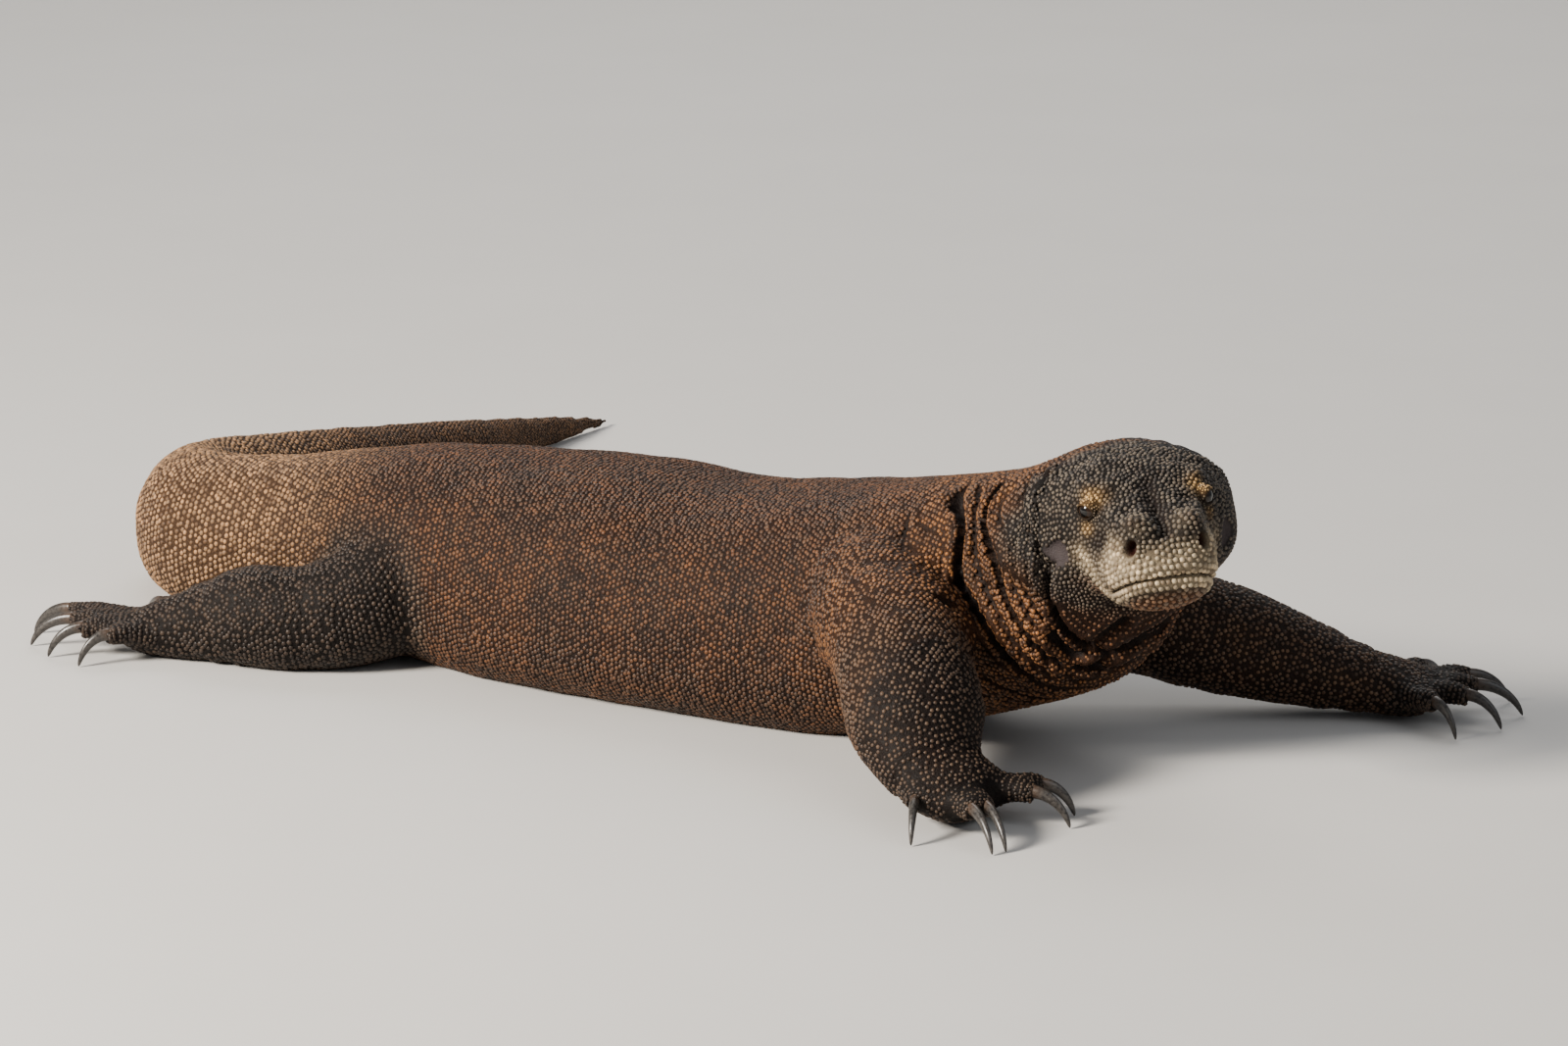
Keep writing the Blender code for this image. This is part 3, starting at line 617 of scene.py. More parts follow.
def markings(points):
    """Two rows of four weights from 0 to 1: rust, limb, tail, head, then cream, yellow, chin, nostril."""
    station, past_tail, angle, _ = on_spine(points)
    height = np.sin(angle)
    blotch = ripple(points, 0.11, 3) * 0.5 + ripple(points, 0.045, 4) * 0.5
    tones = [LIMB_COLOUR[name.split("_")[0]][2] * limb_weight(points, name) for name in LIMBS]
    digits = [SWEEPS[name].locate(points)[2] for name in OWNERS if "digit" in name]
    limb = np.maximum(np.max(tones, axis=0), smoothstep(1.5, 1.15, np.min(digits, axis=0)))
    rust = smoothstep(0.2, 1.2, station) * (1 - 0.88 * smoothstep(2.9, 4.9, station))
    rust = np.clip(rust * (0.8 + 0.55 * blotch) * (1 - 0.35 * smoothstep(0.75, 1.0, height)), 0, 1)
    # The tail's far part fades from pale sand to the ground brown: partly the tail's own darker colour,
    # partly painted shade where it lies in the body's shadow.
    tail = smoothstep(8.9, 11.4, station) * (1 - 0.7 * smoothstep(0.30, 0.55, past_tail))
    back, left, up = to_head(points)
    aside = np.abs(left)
    reach = head_reach(points)
    head = smoothstep(1.5, 1.15, reach) * smoothstep(0.225, 0.180, back + 0.012 * blotch)
    above_lip = up - lip_height(back)
    face = smoothstep(0.085, 0.030, back) * smoothstep(0.032, 0.004, up)
    face *= smoothstep(-0.016, -0.008, above_lip)
    lips = bell(above_lip - 0.004, 0.015) * smoothstep(0.118, 0.085, back)
    lips *= smoothstep(0.02, 0.035, aside + 0.03)
    bulge = 0.45 * bell(np.hypot(np.hypot(0.8 * (back - 0.030), aside - 0.024), up - 0.033), 0.013)
    cream = head * np.clip(np.maximum(np.maximum(face, lips), bulge) * (0.9 + 0.35 * blotch), 0, 1)
    yellow = np.zeros(len(points))
    for behind, out, height, radius, strength in YELLOW_PATCHES:
        apart = np.hypot(np.hypot(back - behind, 1.3 * (up - height)), aside - out)
        yellow += strength * bell(apart, radius)
    yellow = head * np.clip(yellow, 0, 1)
    chin = head * smoothstep(-0.010, -0.022, above_lip) * smoothstep(0.12, 0.05, back)
    throat = 0.25 * smoothstep(-0.066, -0.09, up) * smoothstep(0.24, 0.19, back) * (reach < 2.2)
    chin = np.maximum(chin, throat)
    nostril = smoothstep(1.15, 0.75, opening_place(points, NOSTRIL)[0])
    first = np.stack([rust, limb, tail, head], axis=1)
    return first, np.stack([cream, yellow, chin, nostril], axis=1)


# ---- Sculpting ---------------------------------------------------------------------------------------
def opening_place(points, opening):
    """For an oval opening on both sides of the head: how many half sizes each point is from its middle,
    how far it is along the opening's axis, that axis for the nearer side, and how far it is from the axis."""
    (back, out, up), way, (half_long, half_tall) = opening
    side = np.where(to_head(points)[1] > 0, 1.0, -1.0)
    centre = from_head(back, side * out, up)
    axis = unit(np.stack([way[0] * np.ones_like(side), side * way[1], way[2] * np.ones_like(side)], axis=1))
    axis = axis @ HEAD_AXES[:3, :3].T
    long_way = unit(np.cross(HEAD_AXES[:3, 2], axis))
    tall_way = np.cross(axis, long_way)
    offset = points - centre
    aside, above = (offset * long_way).sum(1), (offset * tall_way).sum(1)
    across = np.hypot(aside / half_long, above / half_tall)
    return across, (offset * axis).sum(1), axis, np.hypot(aside, above)


def ear_place(points):
    """How many half sizes each point is from the middle of the ear's oval."""
    back, _, up = to_head(points)
    return np.hypot((back - EAR_BACK) / EAR_LONG, (up - EAR_UP) / EAR_TALL)


def crease_depth(points, depth, width, *line):
    """A groove along the line with a low ridge at each side, from the distance to its nearest point."""
    path = smooth_rows(line, 12) + SHIFT
    apart = np.sqrt(((points[:, None] - path[None]) ** 2).sum(-1)).min(1)
    return -depth * bell(apart, width) + 0.3 * depth * bell(apart - 2.1 * width, 0.9 * width)


def neck_relief(points):
    """Folds round the neck, each a bell-shaped groove whose station moves forward towards the belly."""
    station, _, angle, reach = on_spine(points)
    rise = np.sin(angle)
    down = 0.5 * (1 - rise)
    right = smoothstep(-0.4, 0.4, np.cos(angle))
    share = (LEFT_FOLD_SHARE + (1 - LEFT_FOLD_SHARE) * right) * smoothstep(1.0, 0.86, rise)
    wobble = 0.10 * ripple(points, 0.09, 11)
    relief = np.zeros(len(points))
    for top, depth, width in NECK_FOLDS:
        gap = (station + wobble - np.maximum(top - NECK_FOLD_SLANT * down, 0.45)) * STATION_LENGTH
        relief += -depth * bell(gap, width) + 0.25 * depth * bell(np.abs(gap) - 2.0 * width, width)
    slant = station + wobble + NECK_FOLD_SLANT * down * smoothstep(4.2, 3.0, station)
    pleats = np.cos(2 * math.pi * slant * STATION_LENGTH / PLEAT_PITCH + 2.0 * ripple(points, 0.10, 12))
    pleated = smoothstep(0.7, 1.6, station) * smoothstep(4.3, 3.6, station)
    relief += PLEAT_DEPTH * (np.minimum(pleats, 0.3) - 0.3) * pleated * (0.6 + 0.6 * ripple(points, 0.06, 13))
    return relief * share * smoothstep(5.2, 4.2, station) * smoothstep(1.6, 1.3, reach)


def lip_shade(points):
    """How much shade is painted into the groove between the lips: 1 in the groove, 0 away from it."""
    back, _, up = to_head(points)
    near = smoothstep(1.3, 1.1, head_reach(points))
    return bell(up - lip_height(back), 0.0013) * smoothstep(0.097, 0.088, back) * near


def head_relief(points):
    """Brow ridges, a dished snout, swollen nostrils, lips, cheeks, the jaw's muscles and the ear."""
    back, left, up = to_head(points)
    aside = np.abs(left)
    path = smooth_rows(BROW_LINE, 10)
    local = np.column_stack([back, aside, up])
    to_brow = np.sqrt(((local[:, None] - path[None]) ** 2).sum(-1)).min(1)
    relief = BROW_RISE * bell(to_brow, BROW_HALF_WIDTH)
    relief += CROWN_RIPPLE * ripple(points, 0.026, 41) * smoothstep(0.0, 0.03, up)
    dish = SNOUT_DISH * bell(aside, 0.010) * smoothstep(0.005, 0.025, back) * smoothstep(0.13, 0.06, back)
    relief -= dish * (up > 0)
    to_nostril = np.hypot(np.hypot(0.8 * (back - 0.032), aside - 0.023), up - 0.030)
    relief += NOSTRIL_SWELL * bell(to_nostril, 0.013)
    jowl = bell(np.hypot(0.8 * (back - 0.152), up + 0.058), 0.032) * smoothstep(0.02, 0.05, aside)
    relief += (JOWL_SWELL + LEFT_JOWL_EXTRA * (left > 0)) * jowl
    above_lip = up - lip_height(back)
    along_lip = smoothstep(0.100, 0.088, back)
    relief -= LIP_GROOVE * bell(above_lip, 0.0022) * along_lip
    relief += UPPER_LIP_SWELL * bell(above_lip - 0.009, 0.007) * along_lip
    relief += LOWER_LIP_SWELL * bell(above_lip + 0.009, 0.007) * along_lip
    relief -= TEMPLE_HOLLOW * bell(np.hypot(back - 0.066, up - 0.008), 0.017) * (aside > 0.03)
    relief += JAW_MUSCLE * bell(np.hypot(back - 0.165, 0.9 * (up + 0.020)), 0.035) * (aside > 0.04)
    ear = ear_place(points)
    relief -= EAR_SINK * smoothstep(1.2, 0.8, ear) * (aside > 0.04)
    relief += EAR_RIM * bell(ear - 1.5, 0.45) * (aside > 0.04)
    return relief * smoothstep(1.5, 1.2, head_reach(points))


def tail_crest(points):
    """A low keel along the top of the tail, highest a third of the way to its tip."""
    _, share, angle, reach = on_spine(points)
    height = CREST_HEIGHT * smoothstep(0.0, 0.30, share) * (1 - share) * (reach < 1.5)
    return height * bell(np.cos(angle), CREST_HALF_WIDTH) * (np.sin(angle) > 0)


def limb_relief(points):
    """Rings of slack skin at the wrists, elbows and ankles, and a knuckle on each digit."""
    relief = np.zeros(len(points))
    for name in LIMBS:
        place, _, reach = SWEEPS[name].locate(points)
        wave = np.sin(place * 2.1 + 1.5 * ripple(points, 0.12, 21))
        joints = bell(place - 24, 3.0) + 0.7 * bell(place - 13, 3.0)
        relief += WRIST_RING * wave * joints * smoothstep(1.4, 1.15, reach)
    for name in OWNERS:
        if "digit" in name:
            place, angle, reach = SWEEPS[name].locate(points)
            knuckle = KNUCKLE * bell(place - 4.2, 0.8) * np.clip(np.sin(angle), 0, 1)
            relief += knuckle * smoothstep(1.5, 1.15, reach)
    return relief


def cut_openings(points):
    """Raises lids round the eyes and rims round the nostrils, and sinks the skin inside their openings."""
    across, depth, axis, spread = opening_place(points, EYE)
    near = (depth > -0.004) & (spread < 0.020)
    lid = np.sqrt(np.maximum((EYEBALL_RADIUS + LID_THICKNESS) ** 2 - spread**2, 0))
    lid = lid + LID_RIM * bell(across - 1.3, 0.35)
    share = smoothstep(0.0135, 0.0095, spread)
    raised = np.maximum(depth, lid * share + depth * (1 - share))
    sunk = np.minimum(depth, EYE_SUNK)
    wanted = raised + (sunk - raised) * smoothstep(1.12, 0.92, across)
    points = points + axis * np.where(near, wanted - depth, 0)[:, None]
    across, depth, axis, spread = opening_place(points, NOSTRIL)
    near = (np.abs(depth) < 0.022) & (spread < 0.016)
    pit = -NOSTRIL_PIT * smoothstep(1.1, 0.45, across) + NOSTRIL_RIM * bell(across - 1.4, 0.35)
    return points + axis * np.where(near, pit, 0)[:, None]


def refine(mesh, inside):
    """Halves the edges of the faces whose middle is inside, then relaxes the new points."""
    work = bmesh.new()
    work.from_mesh(mesh)
    middles = np.array([face.calc_center_median() for face in work.faces])
    chosen = [face for face, wanted in zip(work.faces, inside(middles)) if wanted]
    edges = list({edge for face in chosen for edge in face.edges})
    bmesh.ops.subdivide_edges(work, edges=edges, cuts=1, use_grid_fill=True)
    ngons = [face for face in work.faces if len(face.verts) > 4]
    bmesh.ops.triangulate(work, faces=ngons)
    places = np.array([vertex.co for vertex in work.verts])
    region = [vertex for vertex, wanted in zip(work.verts, inside(places)) if wanted]
    axes = {f"use_axis_{axis}": True for axis in "xyz"}
    for _ in range(3):
        bmesh.ops.smooth_vert(work, verts=region, factor=0.5, **axes)
    work.to_mesh(mesh)
    work.free()


def near_neck(points):
    """Whether each point is on the folded neck or the head."""
    folded = (on_spine(points)[0] < 3.8) & (flesh_owner(points) < 2)
    return folded | (head_reach(points) < 1.3)


def near_face(points):
    """Whether each point is on the front half of the head."""
    return (to_head(points)[0] < 0.112) & (head_reach(points) < 1.2)


def near_openings(points):
    """Whether each point is beside an eye, a nostril or the lip line."""
    back, _, up = to_head(points)
    _, eye_depth, _, from_eye = opening_place(points, EYE)
    _, nostril_depth, _, from_nostril = opening_place(points, NOSTRIL)
    eyes = (from_eye < 0.017) & (eye_depth > -0.004)
    nostrils = (from_nostril < 0.012) & (np.abs(nostril_depth) < 0.02)
    lips = (np.abs(up - lip_height(back)) < 0.0045) & (back < 0.097)
    return (eyes | nostrils | lips) & near_face(points)


def fused_lofts():
    """The mesh that a voxel remesh and a smoothing make of all the sweeps together."""
    sides = {"spine": SPINE_SIDES, "head": HEAD_SIDES, **dict.fromkeys(LIMBS, LIMB_SIDES)}
    grids = [sweep.grid(sides.get(name, DIGIT_SIDES)) for name, sweep in SWEEPS.items()]
    rough = mesh_object("rough_skin", *joined([closed_tube(grid) for grid in grids]))
    fuse = rough.modifiers.new("fuse", "REMESH")
    fuse.mode = "VOXEL"
    fuse.voxel_size = SKIN_VOXEL
    blend = rough.modifiers.new("blend", "SMOOTH")
    blend.factor = 0.5
    blend.iterations = BLEND_ROUNDS
    mesh = bpy.data.meshes.new_from_object(rough.evaluated_get(bpy.context.evaluated_depsgraph_get()))
    remove(rough)
    return mesh


def make_skin(sizes):
    """The fused lofts, refined where there is fine relief, moved along their normals and cut at the floor."""
    mesh = fused_lofts()
    for inside in (near_neck, near_face, near_openings):
        refine(mesh, inside)
    points, outward = vertex_rows(mesh, "co"), vertex_rows(mesh, "normal")
    relief = neck_relief(points) + head_relief(points) + limb_relief(points)
    for crease in CREASES:
        relief += crease_depth(points, *crease)
    # Painted shade: where folds, creases and hollows sink the skin more than a millimetre, and in the groove
    # between the lips, the skin and its scales are darkened towards the fold colour.
    shade = np.maximum(smoothstep(-0.0010, -0.0042, relief), lip_shade(points))
    relief += SKIN_RIPPLE * ripple(points, 0.05, 31) + tail_crest(points) - sizes.coat_depth
    points = cut_openings(points + outward * relief[:, None])
    points[:, 2] = np.maximum(points[:, 2], sizes.floor_gap)
    mesh.vertices.foreach_set("co", points.astype(np.float32).ravel())
    mesh.update()
    mesh.shade_smooth()
    skin = bpy.data.objects.new("skin", mesh)
    bpy.context.scene.collection.objects.link(skin)
    for name, marks in zip(("marks_a", "marks_b"), markings(points)):
        put_colours(mesh, name, marks)
    look = np.zeros((len(points), 4))
    look[:, 1] = 0.5
    # The painted shade goes into the look's third number, for the skin's and the scales' materials.
    look[:, 2] = shade
    look[:, 3] = smoothstep(1.15, 0.9, ear_place(points))
    put_colours(mesh, "look", look)
    return skin


# ---- Scales ---------------------------------------------------------------------------------------
def dome(sides, peaked):
    """A low dome: a sunk ring, a raised inner ring, and a peak or a flat top. Its third column is height."""
    angle = 2 * math.pi * np.arange(sides) / sides
    ring = np.column_stack([np.cos(angle), np.sin(angle), np.zeros(sides)])
    points = np.vstack([ring + (0, 0, -RIM_SINK), ring * CROWN_SHARE + (0, 0, CROWN_HEIGHT)])
    here = np.arange(sides)
    beside = np.roll(here, -1)
    faces = [
        np.column_stack([here, beside, beside + sides]),
        np.column_stack([here, beside + sides, here + sides]),
    ]
    if peaked:
        points = np.vstack([points, (0, 0, 1.0)])
        faces.append(np.column_stack([here + sides, beside + sides, np.full(sides, 2 * sides)]))
    else:
        inner = np.arange(1, sides - 1)
        faces.append(np.column_stack([np.full(len(inner), sides), inner + sides, inner + 1 + sides]))
    return points, np.vstack(faces)


class SkinSurface:
    """The finished skin, for putting scales on it."""

    def __init__(self, skin):
        mesh = skin.data
        self.points, self.normals = vertex_rows(mesh, "co"), vertex_rows(mesh, "normal")
        self.owner = flesh_owner(self.points)
        mesh.calc_loop_triangles()
        self.faces = np.empty(len(mesh.loop_triangles) * 3, np.int32)
        mesh.loop_triangles.foreach_get("vertices", self.faces)
        self.faces = self.faces.reshape(-1, 3)
        shades = np.empty(len(self.points) * 4, np.float32)
        mesh.attributes["look"].data.foreach_get("color", shades)
        self.shade = shades.reshape(-1, 4)[:, 2].astype(float)
        self.tree = BVHTree.FromObject(skin, bpy.context.evaluated_depsgraph_get())
        self.vertices = point_tree(self.points)

    def shade_at(self, points):
        """The painted shade of the skin's nearest vertex."""
        return self.shade[[self.vertices.find(point)[1] for point in points]]

    def project(self, points):
        """The nearest place on the skin to each point, its smooth normal, its owner and its distance."""
        hits = [self.tree.find_nearest(point) for point in points]
        places = np.array([hit[0] for hit in hits])
        near = np.array([self.vertices.find(place)[1] for place in places])
        return places, self.normals[near], self.owner[near], np.array([hit[3] for hit in hits])


def ring_lattice(sweep, pitch_along, pitch_across, span):
    """Staggered rings of roots: their places along the sweep and their angles. Rings are a pitch apart, and
    each holds as many roots, evenly spaced by arc length, as the mean girth of its block of rings allows."""
    start, end = (np.interp(place, np.arange(len(sweep.distance)), sweep.distance) for place in span)
    rings = max(int((end - start) / pitch_along), 2)
    places = np.interp(np.linspace(start, end, rings), sweep.distance, np.arange(len(sweep.distance)))
    turn = np.linspace(-math.pi / 2, 1.5 * math.pi, GIRTH_STEPS)
    outline = sweep.points(places, np.broadcast_to(turn, (rings, GIRTH_STEPS)))
    steps = np.linalg.norm(np.diff(outline, axis=1), axis=2)
    arc = np.hstack([np.zeros((rings, 1)), np.cumsum(steps, axis=1)])
    girth = arc[:, -1]
    block = np.arange(rings) // RINGS_ALIKE
    mean_girth = np.bincount(block, girth)[block] / np.bincount(block)[block]
    counts = np.maximum(np.round(mean_girth / pitch_across).astype(int), 5)
    ring = np.repeat(np.arange(rings), counts)
    number = np.arange(len(ring)) - np.repeat(np.cumsum(counts) - counts, counts)
    share = (number + 0.5 * (ring % 2) + 0.25) / counts[ring] % 1.0
    known = (arc / girth[:, None] * BELOW_ONE + np.arange(rings)[:, None]).ravel()
    angles = np.interp(share * BELOW_ONE + ring, known, np.tile(turn, rings))
    return places[ring], angles


def lip_rows(points):
    """Evenly spaced roots in rows beside the lip line, found by a walk round the snout along each row."""
    back, left, up = to_head(points)
    above = up - lip_height(back)
    turn = np.arctan2(left, 0.045 - back)
    found = np.empty((0, 3))
    for offset, pitch in LIP_ROWS:
        near = np.flatnonzero((np.abs(above - offset) < 0.0009) & (back < 0.088))
        for point in points[near[np.argsort(turn[near])]]:
            if len(found) == 0 or ((found - point) ** 2).sum(1).min() > (0.93 * pitch) ** 2:
                found = np.vstack([found, point])
    return found


def spread_mosaic(surface):
    """Roots over the head: random places kept where none lies nearer than the local spacing, then pushed
    apart from their neighbours and put back on the skin."""
    draw = np.random.default_rng(MOSAIC_SEED)
    owner = OWNERS.index("head")
    corners = surface.points[surface.faces[(surface.owner[surface.faces] == owner).all(1)]]
    area = np.linalg.norm(np.cross(corners[:, 1] - corners[:, 0], corners[:, 2] - corners[:, 0]), axis=1)
    chosen = corners[draw.choice(len(corners), MOSAIC_TRIES, p=area / area.sum())]
    shares = draw.dirichlet((1, 1, 1), MOSAIC_TRIES)
    picks = (chosen * shares[..., None]).sum(1)
    seeds = lip_rows(surface.points[surface.owner == owner])
    count = fixed = len(seeds)
    kept = np.full((MOSAIC_TRIES, 3), 9.0)
    kept[:fixed] = seeds
    for place, gap in zip(picks, head_spacing(picks)):
        if ((kept[: count + 1] - place) ** 2).sum(1).min() > (0.80 * gap) ** 2:
            kept[count] = place
            count += 1
    places = kept[:count]
    for _ in range(MOSAIC_ROUNDS):
        gaps = head_spacing(places)
        apart = places[:, None] - places[None]
        distance = np.sqrt((apart**2).sum(-1)) + np.eye(count)
        push = np.clip(1.0 - distance / (1.12 * gaps[:, None]), 0, 1) * (1 - np.eye(count))
        step = 0.35 * gaps[:, None] * (apart / distance[..., None] * push[..., None]).sum(1)
        step[:fixed] = 0
        places, outward, _, _ = surface.project(places + step)
    return places, outward


def head_spacing(points):
    """Distance between the head's scales: small at the lids, ears and throat, large on snout and lips."""
    back, _, up = to_head(points)
    across, depth, _, _ = opening_place(points, EYE)
    gap = 0.0047 + 0.0010 * smoothstep(0.09, 0.03, back)
    gap -= 0.0012 * smoothstep(-0.045, -0.060, up) * smoothstep(0.05, 0.09, back)
    gap -= 0.0012 * smoothstep(0.12, 0.17, back) * smoothstep(0.03, -0.01, up)
    gap += 0.0006 * bell(up - lip_height(back), 0.012) * smoothstep(0.10, 0.085, back)
    gap -= 0.0024 * smoothstep(3.0, 1.6, across) * (depth > 0)
    gap -= 0.0016 * smoothstep(2.6, 1.7, opening_place(points, NOSTRIL)[0])
    return np.maximum(gap, 0.0024)


def scale_mesh(name, template, roots, outward, along, sizes, island, shade, draw):
    """One mesh of many scales. Each is the template, its x laid along the body, y across it and z outward,
    scaled by the root's three sizes. Its patch of the UV map is a disc at the root's place on its island."""
    shape, faces = template
    count, corners = len(roots), len(shape)
    along = unit(along - (along * outward).sum(1, keepdims=True) * outward)
    across = np.cross(outward, along)
    turn = draw.normal(scale=0.22, size=count)[:, None]
    first = along * np.cos(turn) + across * np.sin(turn)
    second = np.cross(outward, first)
    lean = outward + draw.normal(scale=0.05, size=(count, 3))
    points = roots[:, None]
    for axis, way in enumerate((first, second, lean)):
        points = points + way[:, None] * (shape[:, axis] * sizes[:, axis, None])[..., None]
    points = points.reshape(-1, 3)
    points[:, 2] = np.maximum(points[:, 2], 0.0)
    triangles = (faces[None] + (np.arange(count) * corners)[:, None, None]).reshape(-1, 3)
    obj = mesh_object(name, points, triangles)
    crown = np.tile((shape[:, 2] > 0).astype(float), count)
    own = [np.repeat(value, corners) for value in (draw.random(count), shade, draw.random(count))]
    first_marks, second_marks = (np.repeat(marks, corners, axis=0) for marks in markings(roots))
    put_colours(obj.data, "marks_a", first_marks)
    put_colours(obj.data, "marks_b", second_marks)
    put_colours(obj.data, "look", np.column_stack([crown, *own]))
    patch = island[:, None] + PATCH_RADIUS * shape[None, :, :2]
    layer = obj.data.uv_layers.new(name="OFBake")
    layer.data.foreach_set("uv", patch.reshape(-1, 2)[triangles.ravel()].astype(np.float32).ravel())
    return obj


def far_apart(roots, gap):
    """Which roots stay when each is dropped that lies nearer than gap to one kept before it."""
    tree = point_tree(roots)
    keep = np.ones(len(roots), bool)
    for number, root in enumerate(roots):
        if keep[number]:
            near = [k for _, k, _ in tree.find_range(root, gap) if k > number]
            keep[near] = False
    return keep


class Coat:
    """Roots of scales, gathered sweep by sweep and kept clear of those already gathered."""

    def __init__(self, surface):
        self.surface = surface
        self.batches = []

    def add(self, owner, roots, outward, along, sizes, share):
        """Gathers roots with their normals, the way along the body, three sizes and place on the sweep."""
        owners = np.full(len(roots), OWNERS.index(owner))
        self.batches.append((roots, outward, along, sizes, owners, np.clip(share, 0, 1)))

    def add_sweep(self, name, pitch_along, pitch_across, height, draw, span=(0.0, 1.0), crowd=1.0):
        """Scales in rings. Where the path bends, rings crowd on one side and spread on the other: with crowd
        below 1 they start closer together, and those nearer than most of a pitch to another are dropped."""
        sweep = SWEEPS[name]
        last = len(sweep.rows) - 1.0
        ends = span[0] * last, span[1] * last
        places, angles = ring_lattice(sweep, crowd * pitch_along, pitch_across, ends)
        places = places + draw.normal(scale=0.03, size=len(places))
        guess = sweep.points(places, angles[:, None])[:, 0]
        guess += draw.normal(scale=0.09 * pitch_across, size=guess.shape)
        roots, outward, owners, distance = self.surface.project(guess)
        keep = (owners == OWNERS.index(name)) & (distance < ROOT_REACH) & (roots[:, 2] > LOWEST_ROOT)
        if crowd < 1:
            keep[keep] = far_apart(roots[keep], LIMB_GAP * pitch_along)
        numbers = np.clip(places[keep].round().astype(int), 0, len(sweep.along) - 1)
        count = int(keep.sum())
        grow = draw.uniform(0.84, 1.08, (count, 1))
        half = SCALE_HALF if crowd == 1 else LIMB_SCALE_HALF
        sizes = np.tile([half * pitch_along, half * pitch_across, height], (count, 1))
        sizes = sizes * grow * scale_shrink(roots[keep])[:, None]
        share = np.column_stack([places[keep] / last, (angles[keep] + math.pi / 2) / (2 * math.pi) % 1.0])
        self.add(name, roots[keep], outward[keep], sweep.along[numbers], sizes, share)

    def add_head(self, height, draw):
        """The head's mosaic, left open at the eyes, nostrils, ears and between the lips."""
        roots, outward = spread_mosaic(self.surface)
        back, left, up = to_head(roots)
        across_eye, eye_depth, _, _ = opening_place(roots, EYE)
        keep = ((across_eye > 1.30) | (eye_depth < 0)) & (opening_place(roots, NOSTRIL)[0] > 1.25)
        keep &= (ear_place(roots) > 1.05) & ((np.abs(up - lip_height(back)) > 0.0022) | (back > 0.092))
        roots, outward, back, left, up = (values[keep] for values in (roots, outward, back, left, up))
        gaps = head_spacing(roots)
        turn = np.arctan2(up, left) / (2 * math.pi) + 0.5
        share = np.column_stack([(back + np.hypot(left, up)) / 0.36, turn])
        sizes = gaps[:, None] * np.array([HEAD_SCALE_HALF, HEAD_SCALE_HALF, 0.0]) + (0, 0, 1.15 * height)
        sizes[:, 2] *= gaps / 0.005
        sizes *= draw.uniform(0.88, 1.10, (len(roots), 1))
        along = np.tile(-HEAD_AXES[:3, 0], (len(roots), 1))
        self.add("head", roots, outward, along, sizes, share)

    def finished(self):
        """All roots as arrays, without those that crowd a root of an earlier owner."""
        parts = [np.concatenate(column) for column in zip(*self.batches)]
        roots, _, _, sizes, owner, _ = parts
        tree = point_tree(roots)
        keep = np.ones(len(roots), bool)
        for number, root in enumerate(roots):
            reach = 1.3 * sizes[number, :2].mean()
            others = [k for _, k, _ in tree.find_range(root, reach) if owner[k] < owner[number]]
            keep[number] = not others
        return [part[keep] for part in parts]


def scale_shrink(roots):
    """Scales are finer in the folds of the neck and on the throat."""
    station, _, angle, _ = on_spine(roots)
    throat = smoothstep(2.6, 1.2, station) * smoothstep(-0.2, -0.8, np.sin(angle))
    return 1 - 0.12 * smoothstep(4.2, 3.4, station) - 0.15 * throat


def piece_of(owner, station):
    """The number of each root's piece: first the head's, then four along the spine and two of limbs."""
    pieces = {"head": 0, "front": FRONT_PIECE, "hind": HIND_PIECE}
    piece = np.array([pieces.get(name.split("_")[0], 1) for name in OWNERS])[owner]
    return np.where(owner == OWNERS.index("spine"), 1 + np.searchsorted(BODY_PIECE_ENDS, station), piece)


def island_place(piece, owner, share):
    """Each root's place on its piece's UV map, which the roots fill. Each limb and digit has a cell."""
    found = (share - share.min(0)) / (share.max(0) - share.min(0))
    if piece in (FRONT_PIECE, HIND_PIECE):
        for number, name in enumerate(OWNERS):
            mine = owner == number
            side = 0.0 if "left" in name else 0.5
            corner, size = (0.0, side), (0.70, 0.48)
            if "digit" in name:
                corner, size = (0.72, side + 0.1 * (int(name[-1]) - 1)), (0.26, 0.09)
            found[mine] = corner + share[mine] * size
    return MAP_LOW + (MAP_HIGH - MAP_LOW) * found


def make_coat(skin, sizes):
    """Every piece of the coat, from the roots of all sweeps."""
    draw = np.random.default_rng(COAT_SEED)
    coat = Coat(SkinSurface(skin))
    height, start = sizes.scale_height, 0.0
    for end, share in SPINE_STRETCHES:
        pitch = sizes.scale_pitch * share
        coat.add_sweep("spine", pitch, 1.04 * pitch, share * height, draw, (start, end))
        start = end
    coat.add_head(height, draw)
    for limb in LIMBS:
        pitch = sizes.limb_scale_pitch
        coat.add_sweep(limb, pitch, pitch, 1.1 * height, draw, crowd=LIMB_CROWD)
    for name in OWNERS:
        if "digit" in name:
            coat.add_sweep(name, DIGIT_PITCH_ALONG, DIGIT_PITCH_ACROSS, 0.8 * height, draw)
    roots, outward, along, spans, owner, share = coat.finished()
    piece = piece_of(owner, on_spine(roots)[0])
    shade = coat.surface.shade_at(roots)
    # Painted shade over the hind limbs: their scales get at least HIND_SHADE of the folds' painted shade.
    shade = np.where(piece == HIND_PIECE, np.maximum(shade, HIND_SHADE), shade)
    made = []
    for number, name in enumerate(PIECE_NAMES):
        mine = piece == number
        template = dome(6, True) if name == "head" else dome(5, False)
        parts = (part[mine] for part in (roots, outward, along, spans))
        island = island_place(number, owner[mine], share[mine])
        made.append(scale_mesh(f"scales_{name}", template, *parts, island, shade[mine], draw))
        print(name, int(mine.sum()), "scales", len(made[-1].data.polygons), "triangles")
    return made


